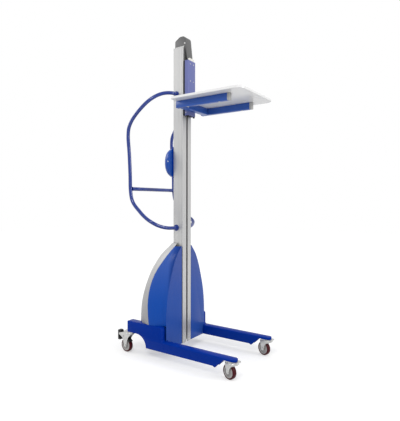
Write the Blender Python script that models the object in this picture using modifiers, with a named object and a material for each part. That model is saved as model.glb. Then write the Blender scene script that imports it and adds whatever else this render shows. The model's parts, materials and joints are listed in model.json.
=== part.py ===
"""Electric lifting stacker on four swivel castors: aluminium mast, belt-hung carriage, platform on two bars.

Metres, +Z up. The load side faces -Y and the operator stands at +Y. The origin lies on the floor in the
middle of the outline.
"""

import math

import bmesh
import bpy
from mathutils import Matrix, Vector

for old in list(bpy.data.objects):
    bpy.data.objects.remove(old, do_unlink=True)

# Clearances between neighbouring pieces
GAP = 0.0003                    # resting face to resting face
SLIDE_GAP = 0.0006              # between shells that meet edge to edge

# Side channels (legs)
TRACK = 0.463                   # between the swivel axes, left to right
LEG_WIDTH = 0.054
LEG_WALL = 0.003
LEG_BOTTOM_Z = 0.066
LEG_TOP_Z = 0.128
LEG_BEND = 0.0025
HOLLOW_DROP = 0.030
PANEL_OVER_LEG = 0.003
SHELF_OVER_ARCH = 0.003
RAISED_TOP_Z = 0.2218
RAISED_UNDER_Z = 0.147
RAISED_FRONT_Y = 0.0745
RAISED_CORNER = 0.020
RAISED_FILLET = 0.012
LEG_REAR_Y = 0.3665
ARCH_START_Y = 0.203
NOSE_Y = -0.3285
NOSE_DROP = 0.006
NOSE_RUN = 0.016
SLANT_TOP_Y = -0.386
TONGUE_END_Y = -0.4625
TONGUE_DEPTH = 0.0135

# Castors
WHEEL_RADIUS = 0.045
WHEEL_WIDTH = 0.026
CORE_RADIUS = 0.0355
HUB_RADIUS = 0.0125
HUB_WIDTH = 0.029
AXLE_RADIUS = 0.0045
AXLE_HEAD_RADIUS = 0.0085
AXLE_HEAD = 0.004
BORE_CLEARANCE = 0.0003
TRAIL = 0.030
FORK_WALL = 0.0025
FORK_SPACE = 0.031
CROWN_THICK = 0.0045
SWIVEL_RADIUS = 0.0325
SWIVEL_BAND = 0.010
PLATE_LENGTH = 0.080
PLATE_WIDTH = 0.052
PLATE_THICK = 0.004
PLATE_CORNER = 0.010
FRONT_SWIVEL_Y = -0.437
REAR_SWIVEL_Y = 0.366
FRONT_YAW = math.radians(-16.0)
REAR_YAW = math.radians(4.0)
PEDAL_WIDTH = 0.024
PEDAL_PIN_Y = 0.052
PEDAL_PIN_DROP = 0.0265
PEDAL_PIN_RADIUS = 0.003

# Chassis between the legs
TRAY_THICK = 0.006
TRAY_FRONT_Y = 0.0660
BEAM_DEPTH = 0.045
BEAM_HEIGHT = 0.045
BEAM_WALL = 0.003
TRAY_REAR_Y = 0.2455
REAR_BEAM_SHELF = 0.0405
REAR_BEAM_TOP_Z = 0.1950

# Mast
MAST_WIDTH = 0.094
MAST_DEPTH = 0.080
MAST_FRONT_Y = 0.058
MAST_TOP_Z = 2.056
MAST_WALL = 0.005
MAST_SLOT = 0.0165
MAST_WEB_Y = 0.098
MAST_GROOVE = 0.0020
MAST_GROOVE_DEPTH = 0.0012
MAST_CORNER = 0.0015
END_CAP_THICK = 0.003
FOOT_BRACKET_HEIGHT = 0.120
FOOT_BRACKET_LEG = 0.050
FOOT_BRACKET_THICK = 0.005

# Lifting strap, pulleys and winding drum
STRAP_THICK = 0.0015
STRAP_WIDTH = 0.028
STRAP_FRONT_Y = 0.0518
STRAP_REAR_Y = 0.1312
PULLEY_RADIUS = 0.0183
PULLEY_WIDTH = 0.036
PIN_RADIUS = 0.004
PULLEY_BASE_THICK = 0.008
PULLEY_BASE_WIDTH = 0.068
EAR_THICK = 0.003
ROLL_RADIUS = 0.033
FLANGE_RADIUS = 0.044
FLANGE_THICK = 0.003
DRUM_Z = 0.225
MOTOR_RADIUS = 0.036
MOTOR_LENGTH = 0.095
GEARBOX_SIDE = 0.076
GEARBOX_LENGTH = 0.040

# Pulley hood
HOOD_WIDTH = 0.060
HOOD_WALL = 0.0025
HOOD_REAR_Y = 0.1365
HOOD_HEADROOM = 0.0256
HOOD_APRON_DROP = 0.158
HOOD_APRON_Y = 0.0325

# Carriage
CARRIAGE_WIDTH = 0.085
CARRIAGE_WALL = 0.0035
CARRIAGE_FRONT_Y = 0.018
CARRIAGE_MAST_GAP = 0.003
CARRIAGE_HEADROOM = 0.091
CARRIAGE_HEIGHT = 0.365
CARRIAGE_CORNER = 0.006
SHOE_LENGTH = 0.080
SHOE_HEAD_WIDTH = 0.060
SHOE_PLAY = 0.0006
CLAMP_HEIGHT = 0.045
CLAMP_WIDTH = 0.044
STOP_WIDTH = 0.056
STOP_HEIGHT = 0.018
STOP_DEPTH = 0.012

# Load bars and platform
BAR_WIDTH = 0.028
BAR_HEIGHT = 0.044
BAR_WALL = 0.0025
BAR_INSET = 0.078
BAR_RISE = 0.0697
BAR_REAR_Y = 0.032
BAR_FRONT_Y = -0.346
PLUG_HEAD = 0.015
PLUG_SHANK = 0.020
CROSS_TUBE_DEPTH = 0.0425
PLATFORM_WIDTH = 0.444
PLATFORM_THICK = 0.015
PLATFORM_FRONT_Y = -0.475
PLATFORM_REAR_Y = 0.032
PLATFORM_FRONT_CORNER = 0.048
PLATFORM_REAR_CORNER = 0.016
PLATFORM_EDGE = 0.002
NOTCH_CLEARANCE = 0.006

# Push handle
TUBE_RADIUS = 0.0125
HANDLE_HALF_WIDTH = 0.237
HANDLE_FOOT_Y = 0.113
HANDLE_HEADROOM = 0.308
HANDLE_BOTTOM_Z = 0.847
HANDLE_TOP_BEND = 0.248
HANDLE_LOW_BEND = 0.213
HANDLE_TOP_Y = 0.3745
HANDLE_LOW_Y = 0.3501
CROSSBAR_RISE = 0.050
HANDLE_STUB = 0.040

# Control pod behind the mast
POD_HALF_WIDTH = 0.093
POD_HALF_HEIGHT = 0.103
POD_RISE = 0.230
POD_DEPTH = 0.050
POD_POWER = 2.3
POD_SKIRT_SHARE = 0.15
POD_FACE_SHARE = 0.62
POD_PLATE_THICK = 0.007
POD_PLATE_WIDTH = 0.100
BUTTON_RADIUS = 0.0100
BUTTON_HEIGHT = 0.0065
BUTTON_TRAVEL = 0.003
BUTTON_STEM = 0.008
BUTTON_SPREAD = 0.026
BUTTON_DROP = 0.008
STOP_BUTTON_RADIUS = 0.0165
STOP_BUTTON_HEIGHT = 0.016
STOP_BUTTON_RISE = 0.033
STOP_TRAVEL = 0.004
KEY_RADIUS = 0.0085
KEY_HEIGHT = 0.004
KEY_DROP = 0.043

# Fairing round the foot of the mast
FAIRING_FRONT_Y = 0.062
FAIRING_THICK = 0.003
FAIRING_TOP_Z = 0.742
BLUE_SHELL_TOP_Z = 0.724
FAIRING_INSET = 0.003
FAIRING_TOP_HALF = 0.060
FAIRING_REAR_Y = 0.353
FAIRING_MAST_GAP = 0.0055
FAIRING_BACK_GAP = 0.0085
SEAM_STRIP = 0.004
# height, width, crease, seam and rear bulge, each as a share of its full value
FAIRING_STATIONS = (
    (0.000, 1.000, 0.825, 0.408, 1.000),
    (0.111, 0.985, 0.833, 0.432, 0.987),
    (0.207, 0.951, 0.840, 0.465, 0.960),
    (0.294, 0.903, 0.851, 0.485, 0.930),
    (0.413, 0.803, 0.873, 0.502, 0.866),
    (0.528, 0.711, 0.860, 0.478, 0.784),
    (0.648, 0.614, 0.827, 0.412, 0.681),
    (0.738, 0.517, 0.800, 0.331, 0.575),
    (0.842, 0.379, 0.725, 0.234, 0.392),
    (0.917, 0.235, 0.540, 0.170, 0.180),
    (0.942, 0.164, 0.400, 0.153, 0.110),
    (0.965, 0.092, 0.250, 0.142, 0.055),
    (1.000, 0.000, 0.133, 0.131, 0.000),
)
# side wall behind the crease: share of the way out, share of the way back to the seam
SIDE_SWEEP = ((-0.12, 0.06), (0.00, 0.20), (0.45, 0.40), (0.85, 0.62), (1.00, 0.84), (1.00, 1.00))

# Battery pack and controller
BATTERY_SIZE = (0.300, 0.054, 0.110)
CONTROLLER_SIZE = (0.150, 0.034, 0.110)

# Derived places
LEG_X = TRACK / 2
FAIRING_BASE_HALF = LEG_X + LEG_WIDTH / 2 - FAIRING_INSET
LEG_IN_X = LEG_X - LEG_WIDTH / 2
TONGUE_UNDER_Z = LEG_TOP_Z - TONGUE_DEPTH
ARCH_RADIUS = RAISED_UNDER_Z - LEG_BOTTOM_Z
MAST_REAR_Y = MAST_FRONT_Y + MAST_DEPTH
MAST_BOTTOM_Z = LEG_BOTTOM_Z
TRAY_TOP_Z = LEG_BOTTOM_Z + TRAY_THICK
REAR_SHELF_Z = RAISED_UNDER_Z + SHELF_OVER_ARCH
CAP_TOP_Z = MAST_TOP_Z + GAP + END_CAP_THICK
PULLEY_BASE_TOP_Z = CAP_TOP_Z + GAP + PULLEY_BASE_THICK
PULLEY_Z = PULLEY_BASE_TOP_Z + PULLEY_RADIUS + STRAP_THICK + 0.0012
BRACKET_FRONT_Y = STRAP_FRONT_Y + STRAP_THICK / 2 + 0.006
FRONT_PULLEY_Y = STRAP_FRONT_Y + STRAP_THICK / 2 + GAP + PULLEY_RADIUS
REAR_PULLEY_Y = STRAP_REAR_Y - STRAP_THICK / 2 - GAP - PULLEY_RADIUS
DRUM_Y = STRAP_REAR_Y - STRAP_THICK / 2 + ROLL_RADIUS + STRAP_THICK + GAP
HOOD_TOP_Z = PULLEY_Z + PULLEY_RADIUS + STRAP_THICK + HOOD_HEADROOM
HOOD_APRON_Z = HOOD_TOP_Z - HOOD_APRON_DROP
CARRIAGE_TOP_Z = MAST_TOP_Z - CARRIAGE_HEADROOM
CARRIAGE_BOTTOM_Z = CARRIAGE_TOP_Z - CARRIAGE_HEIGHT
CARRIAGE_REAR_Y = MAST_FRONT_Y - CARRIAGE_MAST_GAP
BAR_TOP_Z = CARRIAGE_BOTTOM_Z + BAR_RISE
HANDLE_TOP_Z = MAST_TOP_Z - HANDLE_HEADROOM
HANDLE_BEND_TOP_Z = HANDLE_TOP_Z - HANDLE_TOP_BEND
HANDLE_BEND_LOW_Z = HANDLE_BOTTOM_Z + HANDLE_LOW_BEND
CROSSBAR_Z = HANDLE_BEND_LOW_Z + CROSSBAR_RISE
POD_Z = HANDLE_BEND_LOW_Z + POD_RISE
BUTTON_Z = POD_Z - BUTTON_DROP
STOP_BUTTON_Z = POD_Z + STOP_BUTTON_RISE
KEY_Z = POD_Z - KEY_DROP
BAR_BOTTOM_Z = BAR_TOP_Z - BAR_HEIGHT
BAR_CENTRE_X = PLATFORM_WIDTH / 2 - BAR_INSET
BAR_IN_X = BAR_CENTRE_X - BAR_WIDTH / 2
PLATFORM_BOTTOM_Z = BAR_TOP_Z + GAP
POD_BASE_Y = MAST_REAR_Y + GAP + POD_PLATE_THICK + GAP
POD_FACE_Y = POD_BASE_Y + POD_DEPTH

MODEL = bpy.data.collections.new("lifting_stacker")
CUTTERS = bpy.data.collections.new("cutters")
bpy.context.scene.collection.children.link(MODEL)
bpy.context.scene.collection.children.link(CUTTERS)


def finish(name, colour, roughness, metallic):
    """Principled material of one finish."""
    material = bpy.data.materials.new(name)
    material.use_nodes = True
    shader = material.node_tree.nodes["Principled BSDF"]
    shader.inputs["Base Color"].default_value = (*colour, 1.0)
    shader.inputs["Roughness"].default_value = roughness
    shader.inputs["Metallic"].default_value = metallic
    material.diffuse_color = (*colour, 1.0)
    return material


BLUE_PAINT = finish("blue_powder_coat", (0.004, 0.030, 0.250), 0.35, 0.0)
BLUE_SHELL = finish("blue_moulding", (0.010, 0.085, 0.350), 0.40, 0.0)
LILAC_PAINT = finish("carriage_paint", (0.130, 0.160, 0.440), 0.40, 0.0)
SILVER_SHELL = finish("silver_moulding", (0.55, 0.55, 0.54), 0.45, 0.0)
ALUMINIUM = finish("anodised_aluminium", (0.62, 0.62, 0.61), 0.38, 0.9)
ZINC = finish("zinc_plated_steel", (0.50, 0.50, 0.49), 0.35, 0.9)
DARK_PLASTIC = finish("dark_grey_plastic", (0.11, 0.11, 0.11), 0.5, 0.0)
BLACK_PLASTIC = finish("black_plastic", (0.015, 0.015, 0.016), 0.5, 0.0)
WHITE_SHEET = finish("white_platform", (0.80, 0.80, 0.80), 0.3, 0.0)
NATURAL_NYLON = finish("natural_nylon", (0.75, 0.73, 0.66), 0.5, 0.0)
GREY_PLUG = finish("grey_plug", (0.36, 0.36, 0.35), 0.5, 0.0)
WHEEL_GREY = finish("wheel_core_grey", (0.28, 0.28, 0.27), 0.45, 0.0)
TREAD_RED = finish("tread_polyurethane", (0.09, 0.004, 0.010), 0.45, 0.0)
WEBBING = finish("strap_webbing", (0.03, 0.03, 0.03), 0.9, 0.0)
STOP_RED = finish("stop_button_red", (0.55, 0.02, 0.02), 0.35, 0.0)
CHROME = finish("key_barrel_chrome", (0.7, 0.7, 0.7), 0.2, 1.0)


def add(name, mesh, material=None, cutter=False):
    """Put a mesh in the model, or among the cutters."""
    item = bpy.data.objects.new(name, mesh)
    if cutter:
        CUTTERS.objects.link(item)
        item.hide_render = True
        item.display_type = "WIRE"
    else:
        MODEL.objects.link(item)
        mesh.materials.append(material)
    return item


def mesh_from(build_mesh, name, centre=None):
    """Mesh of a bmesh whose faces point out, with its origin moved to a centre."""
    bmesh.ops.recalc_face_normals(build_mesh, faces=build_mesh.faces)
    if centre is not None:
        bmesh.ops.translate(build_mesh, vec=-Vector(centre), verts=build_mesh.verts)
    mesh = bpy.data.meshes.new(name)
    build_mesh.to_mesh(mesh)
    build_mesh.free()
    return mesh


def box(name, low, high, material=None, cutter=False, bevel=0.0, origin=None):
    """Rectangular solid between two corners, its edges eased by a bevel."""
    low = Vector(low)
    high = Vector(high)
    solid = bmesh.new()
    middle = (low + high) / 2
    matrix = Matrix.Translation(middle) @ Matrix.Diagonal((*(high - low), 1.0))
    bmesh.ops.create_cube(solid, size=1.0, matrix=matrix)
    if bevel:
        bmesh.ops.bevel(solid, geom=solid.edges[:], offset=bevel, segments=2, profile=0.5, affect="EDGES")
    item = add(name, mesh_from(solid, name, origin), material, cutter)
    if origin is not None:
        item.location = origin
    return item


def axis_matrix(centre, axis):
    """Places a cone that runs along local Z on a world axis."""
    turn = Vector((0.0, 0.0, 1.0)).rotation_difference(Vector(axis)).to_matrix().to_4x4()
    return Matrix.Translation(Vector(centre)) @ turn


def cylinder(name, centre, axis, radius, length, sides=24, material=None, cutter=False, origin=None):
    """Round bar about a point of its axis, midway along it."""
    solid = bmesh.new()
    bmesh.ops.create_cone(solid, cap_ends=True, segments=sides, radius1=radius, radius2=radius,
                          depth=length, matrix=axis_matrix(centre, axis))
    item = add(name, mesh_from(solid, name, origin), material, cutter)
    if origin is not None:
        item.location = origin
    return item


PLANES = {
    # outline X, outline Y and extrusion direction of each working plane
    "XY": Matrix(((1, 0, 0), (0, 1, 0), (0, 0, 1))).transposed(),
    "YZ": Matrix(((0, 1, 0), (0, 0, 1), (1, 0, 0))).transposed(),
    "XZ": Matrix(((1, 0, 0), (0, 0, 1), (0, -1, 0))).transposed(),
}


def outline(name, loops, plane, middle, thickness, material=None, cutter=False, origin=None):
    """Flat outline, with any inner loops as holes, extruded to both sides of its plane."""
    curve = bpy.data.curves.new(name, "CURVE")
    curve.dimensions = "2D"
    curve.fill_mode = "BOTH"
    curve.extrude = thickness / 2
    for loop in loops:
        spline = curve.splines.new("POLY")
        spline.points.add(len(loop) - 1)
        for point, (u, v) in zip(spline.points, loop):
            point.co = (u, v, 0.0, 1.0)
        spline.use_cyclic_u = True
    sketch = bpy.data.objects.new(name + "_sketch", curve)
    CUTTERS.objects.link(sketch)
    bpy.context.view_layer.update()
    evaluated = sketch.evaluated_get(bpy.context.evaluated_depsgraph_get())
    mesh = bpy.data.meshes.new_from_object(evaluated)
    bpy.data.objects.remove(sketch, do_unlink=True)
    solid = bmesh.new()
    solid.from_mesh(mesh)
    bpy.data.meshes.remove(mesh)
    bmesh.ops.remove_doubles(solid, verts=solid.verts, dist=0.00002)
    matrix = PLANES[plane].to_4x4()
    shift = matrix @ Vector((0.0, 0.0, middle))
    bmesh.ops.transform(solid, matrix=Matrix.Translation(shift) @ matrix, verts=solid.verts)
    bmesh.ops.dissolve_limit(solid, angle_limit=math.radians(0.5), verts=solid.verts, edges=solid.edges)
    item = add(name, mesh_from(solid, name, origin), material, cutter)
    if origin is not None:
        item.location = origin
    return item


def arc(centre, radius, start, end, steps):
    """Points along an arc, angles in degrees."""
    angles = [math.radians(start + (end - start) * i / steps) for i in range(steps + 1)]
    return [(centre[0] + radius * math.cos(a), centre[1] + radius * math.sin(a)) for a in angles]


def rounded_rectangle(low, high, radii, steps=4):
    """Rectangle whose corners, from low-low anticlockwise, have their own radii."""
    (x0, y0), (x1, y1) = low, high
    corners = ((x0, y0, 180), (x1, y0, 270), (x1, y1, 0), (x0, y1, 90))
    points = []
    for (x, y, start), radius in zip(corners, radii):
        if radius <= 0.0:
            points.append((x, y))
            continue
        inward_x = radius if x == x0 else -radius
        inward_y = radius if y == y0 else -radius
        points += arc((x + inward_x, y + inward_y), radius, start, start + 90, steps)
    return points


def turned(name, profile, centre, axis, material, steps=24):
    """Ring turned from a closed profile of (radius, height) points about an axis."""
    ring = bmesh.new()
    rows = []
    for step in range(steps):
        angle = 2 * math.pi * step / steps
        rows.append([ring.verts.new((r * math.cos(angle), r * math.sin(angle), h)) for r, h in profile])
    for step in range(steps):
        here = rows[step]
        there = rows[(step + 1) % steps]
        for i in range(len(profile)):
            j = (i + 1) % len(profile)
            ring.faces.new((here[i], here[j], there[j], there[i]))
    turn = Vector((0.0, 0.0, 1.0)).rotation_difference(Vector(axis)).to_matrix().to_4x4()
    bmesh.ops.transform(ring, matrix=turn, verts=ring.verts)
    item = add(name, mesh_from(ring, name), material)
    item.location = centre
    return item


def smooth(item, angle=35.0):
    """Shade the round faces smooth and keep the edges sharp."""
    item.data.shade_smooth()
    item.data.set_sharp_from_angle(angle=math.radians(angle))
    return item


def boolean(item, other, operation="DIFFERENCE"):
    """Exact Boolean with a cutter."""
    step = item.modifiers.new(operation.lower(), "BOOLEAN")
    step.operation = operation
    step.solver = "EXACT"
    step.object = other
    return item


def leg_outline(inset, drop):
    """Side outline of a leg. The inset one is the hollow of the folded channel, open below."""
    rear = LEG_REAR_Y - inset
    top = RAISED_TOP_Z - inset
    front = RAISED_FRONT_Y + inset
    deck = LEG_TOP_Z - inset
    under = RAISED_UNDER_Z - drop
    bottom = LEG_BOTTOM_Z - drop
    corner = RAISED_CORNER - inset
    fillet = RAISED_FILLET + inset
    radius = ARCH_RADIUS
    arch = arc((ARCH_START_Y + radius, bottom), radius, 90, 180, 8)
    points = [(rear, top), (front + corner, top)]
    points += arc((front + corner, top - corner), corner, 90, 180, 4)[1:]
    points += arc((front - fillet, deck + fillet), fillet, 0, -90, 3)
    slant = inset * 1.45
    points.append((SLANT_TOP_Y + slant, deck))
    if inset:
        points += [(SLANT_TOP_Y + slant, TONGUE_UNDER_Z), (NOSE_Y + slant, bottom - NOSE_DROP)]
    else:
        points = points[:-1]
        points += [(TONGUE_END_Y, deck), (TONGUE_END_Y, TONGUE_UNDER_Z), (SLANT_TOP_Y, TONGUE_UNDER_Z)]
        points += [(NOSE_Y, bottom - NOSE_DROP), (NOSE_Y + NOSE_DROP, bottom - NOSE_DROP)]
        points.append((NOSE_Y + NOSE_RUN, bottom))
    points += list(reversed(arch))
    points.append((rear, under))
    return points


def leg(name, side):
    """Folded steel channel: raised rear part over the wheel arch, low front part, rounded tongue."""
    centre = side * LEG_X
    half = LEG_WIDTH / 2
    item = outline(name, [leg_outline(0.0, 0.0)], "YZ", centre, LEG_WIDTH, BLUE_PAINT)
    plan = rounded_rectangle((centre - half - 0.001, TONGUE_END_Y), (centre + half + 0.001, LEG_REAR_Y + 0.01),
                             (half, half, 0.0, 0.0), 6)
    height = RAISED_TOP_Z + 0.02
    boolean(item, outline(name + "_plan", [plan], "XY", height / 2, height, cutter=True), "INTERSECT")
    ease = item.modifiers.new("bend", "BEVEL")
    ease.width = LEG_BEND
    ease.segments = 2
    ease.limit_method = "ANGLE"
    ease.angle_limit = math.radians(50)
    hollow = LEG_WIDTH - 2 * LEG_WALL
    boolean(item, outline(name + "_hollow", [leg_outline(LEG_WALL, HOLLOW_DROP)], "YZ", centre, hollow, cutter=True))
    inner = half - LEG_WALL
    tongue = rounded_rectangle((centre - inner, TONGUE_END_Y + LEG_WALL), (centre + inner, SLANT_TOP_Y - 0.002),
                               (inner, inner, 0.0, 0.0), 6)
    depth = TONGUE_DEPTH - LEG_WALL + 0.010
    middle = LEG_TOP_Z - LEG_WALL - depth / 2
    boolean(item, outline(name + "_tongue_hollow", [tongue], "XY", middle, depth, cutter=True))
    return item


def wheel(name, side, place, yaw, plate_z):
    """Wheel core and polyurethane tread on the axle, set by the castor's swivel angle."""
    axle = Vector((side * LEG_X - TRAIL * math.sin(yaw), place + TRAIL * math.cos(yaw), WHEEL_RADIUS))
    axis = Vector((math.cos(yaw), math.sin(yaw), 0.0))
    half = WHEEL_WIDTH / 2
    bore = AXLE_RADIUS + BORE_CLEARANCE
    hub = HUB_WIDTH / 2
    web = half * 0.45
    rim = CORE_RADIUS - 0.006
    core = [(bore, hub), (bore, -hub), (HUB_RADIUS, -hub), (HUB_RADIUS + 0.001, -web), (rim, -web),
            (rim + 0.001, -half + 0.002), (CORE_RADIUS, -half + 0.002), (CORE_RADIUS, half - 0.002),
            (rim + 0.001, half - 0.002), (rim, web), (HUB_RADIUS + 0.001, web), (HUB_RADIUS, hub)]
    smooth(turned(name + "_core", core, axle, axis, WHEEL_GREY))
    inner = CORE_RADIUS + GAP
    shoulder = WHEEL_RADIUS - 0.005
    tread = [(inner, half), (inner, -half), (shoulder, -half), (WHEEL_RADIUS - 0.0015, -half + 0.0035),
             (WHEEL_RADIUS, -half + 0.008), (WHEEL_RADIUS, half - 0.008),
             (WHEEL_RADIUS - 0.0015, half - 0.0035), (shoulder, half)]
    smooth(turned(name + "_tread", tread, axle, axis, TREAD_RED))


def fork_mesh(name, top, brake):
    """Pressed fork in the castor's own frame: swivel on Z, wheel trailing along +Y, axle riveted in."""
    neck_top = top - PLATE_THICK - GAP
    crown_top = neck_top - SWIVEL_BAND
    crown_under = crown_top - CROWN_THICK
    pin_z = crown_top - PEDAL_PIN_DROP
    half = FORK_SPACE / 2
    side_outer = half + FORK_WALL
    lug = AXLE_HEAD_RADIUS + 0.0045
    shoulder_front = -0.020
    shoulder_rear = PEDAL_PIN_Y + 0.008 if brake else PEDAL_PIN_Y
    shoulder_low = pin_z - 0.010 if brake else crown_under - 0.004
    cheek = [(shoulder_front, crown_top), (shoulder_front, shoulder_low)]
    cheek += arc((TRAIL, WHEEL_RADIUS), lug, 190, 350, 8)
    cheek += [(shoulder_rear, shoulder_low), (shoulder_rear, crown_top)]
    body = outline(name, [cheek], "YZ", 0.0, 2 * side_outer, ZINC)
    # space for the wheel between the cheeks
    boolean(body, box(name + "_space", (-half, -0.08, -0.01), (half, 0.12, crown_under), cutter=True))
    swivel = cylinder(name + "_swivel", (0, 0, (crown_top + neck_top) / 2 - 0.001), (0, 0, 1),
                      SWIVEL_RADIUS, SWIVEL_BAND + 0.002, 24, cutter=True)
    boolean(body, swivel, "UNION")
    axle = cylinder(name + "_axle", (0, TRAIL, WHEEL_RADIUS), (1, 0, 0), AXLE_RADIUS,
                    2 * side_outer + 0.002, 16, cutter=True)
    boolean(body, axle, "UNION")
    for end in (-1, 1):
        head = cylinder(name + "_head_" + str(end), (end * (side_outer + AXLE_HEAD / 2 - 0.0004), TRAIL, WHEEL_RADIUS),
                        (1, 0, 0), AXLE_HEAD_RADIUS, AXLE_HEAD + 0.0008, 6, cutter=True)
        boolean(body, head, "UNION")
    if brake:
        pin = cylinder(name + "_pin", (0, PEDAL_PIN_Y, pin_z), (1, 0, 0), PEDAL_PIN_RADIUS,
                       2 * half + FORK_WALL, 12, cutter=True)
        boolean(body, pin, "UNION")
    return body


def castor(name, side, place, top, yaw, brake):
    """Top plate, swivelling fork with its axle, wheel core, tread, and the brake rocker where there is one."""
    centre = Vector((side * LEG_X, place, 0.0))
    plate = rounded_rectangle((centre.x - PLATE_WIDTH / 2, place - PLATE_LENGTH / 2),
                              (centre.x + PLATE_WIDTH / 2, place + PLATE_LENGTH / 2), (PLATE_CORNER,) * 4, 3)
    outline(name + "_top_plate", [plate], "XY", top - PLATE_THICK / 2, PLATE_THICK, ZINC)
    turn = Matrix.Translation(centre) @ Matrix.Rotation(yaw, 4, "Z")
    fork = fork_mesh(name + "_fork", top, brake)
    fork.matrix_world = turn
    for step in fork.modifiers:
        step.object.matrix_world = turn
    smooth(fork)
    wheel(name + "_wheel", side, place, yaw, top)
    if brake:
        pedal(name, turn, top - PLATE_THICK - GAP - SWIVEL_BAND - PEDAL_PIN_DROP)


def pedal(name, turn, pin_z):
    """C-shaped rocker of black plastic: the upper toe locks the wheel and the lower toe frees it."""
    arm_below = [(-0.0065, -0.0040), (-0.0020, -0.0075), (0.0050, -0.0065), (0.0280, 0.0040), (0.0520, 0.0120)]
    strip = 0.0535
    edge = 0.0580
    lower_toe = [(strip, 0.0080), (strip, -0.0190), (0.0500, -0.0220), (0.0360, -0.0230), (0.0340, -0.0290),
                 (0.0370, -0.0350), (0.0550, -0.0355), (edge, -0.0320)]
    upper_toe = [(edge, 0.0260), (0.0540, 0.0320), (0.0340, 0.0330), (0.0280, 0.0300), (0.0260, 0.0210)]
    arm_above = [(0.0100, 0.0090), (-0.0020, 0.0075), (-0.0065, 0.0040)]
    shape = [(PEDAL_PIN_Y + y, pin_z + z) for y, z in arm_below + lower_toe + upper_toe + arm_above]
    pivot = Vector((0.0, PEDAL_PIN_Y, pin_z))
    item = outline(name + "_pedal", [shape], "YZ", 0.0, PEDAL_WIDTH, BLACK_PLASTIC, origin=pivot)
    bore = cylinder(name + "_pedal_bore", pivot, (1, 0, 0), PEDAL_PIN_RADIUS + BORE_CLEARANCE,
                    PEDAL_WIDTH + 0.01, 12, cutter=True)
    item.matrix_world = turn @ Matrix.Translation(pivot)
    bore.matrix_world = turn
    boolean(item, bore)
    return item


def chassis():
    """Tray and two beams between the legs, and the angle brackets that hold the mast's foot."""
    inner = LEG_IN_X - GAP
    notch = MAST_WIDTH / 2 + SLIDE_GAP
    rear = TRAY_REAR_Y
    plan = [(-inner, TRAY_FRONT_Y), (-notch, TRAY_FRONT_Y), (-notch, MAST_REAR_Y + SLIDE_GAP),
            (notch, MAST_REAR_Y + SLIDE_GAP), (notch, TRAY_FRONT_Y), (inner, TRAY_FRONT_Y),
            (inner, rear), (-inner, rear)]
    outline("chassis_tray", [plan], "XY", LEG_BOTTOM_Z + TRAY_THICK / 2, TRAY_THICK, BLUE_PAINT)
    front = MAST_REAR_Y + SLIDE_GAP
    z = TRAY_TOP_Z + GAP
    beam = box("front_cross_beam", (-inner, front, z), (inner, front + BEAM_DEPTH, z + BEAM_HEIGHT), BLUE_PAINT)
    boolean(beam, box("front_beam_hole", (-inner - 0.01, front + BEAM_WALL, z + BEAM_WALL),
                      (inner + 0.01, front + BEAM_DEPTH - BEAM_WALL, z + BEAM_HEIGHT - BEAM_WALL), cutter=True))
    web = TRAY_REAR_Y - BEAM_WALL
    lip = web + BEAM_WALL + REAR_BEAM_SHELF
    fold = [(web, z), (TRAY_REAR_Y, z), (TRAY_REAR_Y, REAR_SHELF_Z), (lip, REAR_SHELF_Z),
            (lip, REAR_BEAM_TOP_Z), (lip - BEAM_WALL, REAR_BEAM_TOP_Z), (lip - BEAM_WALL, REAR_SHELF_Z + BEAM_WALL),
            (web, REAR_SHELF_Z + BEAM_WALL)]
    outline("rear_cross_beam", [fold], "YZ", 0.0, 2 * inner, BLUE_PAINT)
    for side, name in ((-1, "mast_bracket_left"), (1, "mast_bracket_right")):
        x = MAST_WIDTH / 2 + GAP
        z = TRAY_TOP_Z + GAP
        angle = [(side * x, z), (side * (x + FOOT_BRACKET_LEG), z),
                 (side * (x + FOOT_BRACKET_LEG), z + FOOT_BRACKET_THICK),
                 (side * (x + FOOT_BRACKET_THICK), z + FOOT_BRACKET_THICK),
                 (side * (x + FOOT_BRACKET_THICK), z + FOOT_BRACKET_HEIGHT), (side * x, z + FOOT_BRACKET_HEIGHT)]
        if side < 0:
            angle.reverse()
        middle = -(MAST_FRONT_Y + MAST_DEPTH / 2 + 0.005)
        outline(name, [angle], "XZ", middle, MAST_DEPTH - 0.024, ZINC)


def mast():
    """Extruded aluminium mast: front guide chamber open through a slot, closed strap chamber behind."""
    half = MAST_WIDTH / 2
    front = MAST_FRONT_Y
    rear = MAST_REAR_Y
    slot = MAST_SLOT / 2
    wall = MAST_WALL
    web = MAST_WEB_Y
    c = MAST_CORNER
    groove = MAST_GROOVE / 2
    right = [(slot, front), (half - c, front), (half, front + c)]
    for y in (front + 0.009, front + 0.032):
        right += [(half, y - groove), (half - MAST_GROOVE_DEPTH, y - groove),
                  (half - MAST_GROOVE_DEPTH, y + groove), (half, y + groove)]
    right += [(half, rear - c), (half - c, rear)]
    chamber = [(half - wall, web - wall), (half - wall, front + wall), (slot, front + wall)]
    loop = right + [(-x, y) for x, y in reversed(right)]
    loop += [(-x, y) for x, y in reversed(chamber)] + chamber
    strap_room = rounded_rectangle((-half + wall, web), (half - wall, rear - wall * 0.8), (0.002,) * 4, 2)
    height = MAST_TOP_Z - MAST_BOTTOM_Z
    item = outline("mast", [loop, strap_room], "XY", MAST_BOTTOM_Z + height / 2, height, ALUMINIUM)
    room = FLANGE_RADIUS + 0.006
    width = STRAP_WIDTH / 2 + FLANGE_THICK + 0.006
    boolean(item, box("mast_window", (-width, web + 0.006, DRUM_Z - room), (width, rear + 0.01, DRUM_Z + room),
                      cutter=True))
    return item


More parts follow.
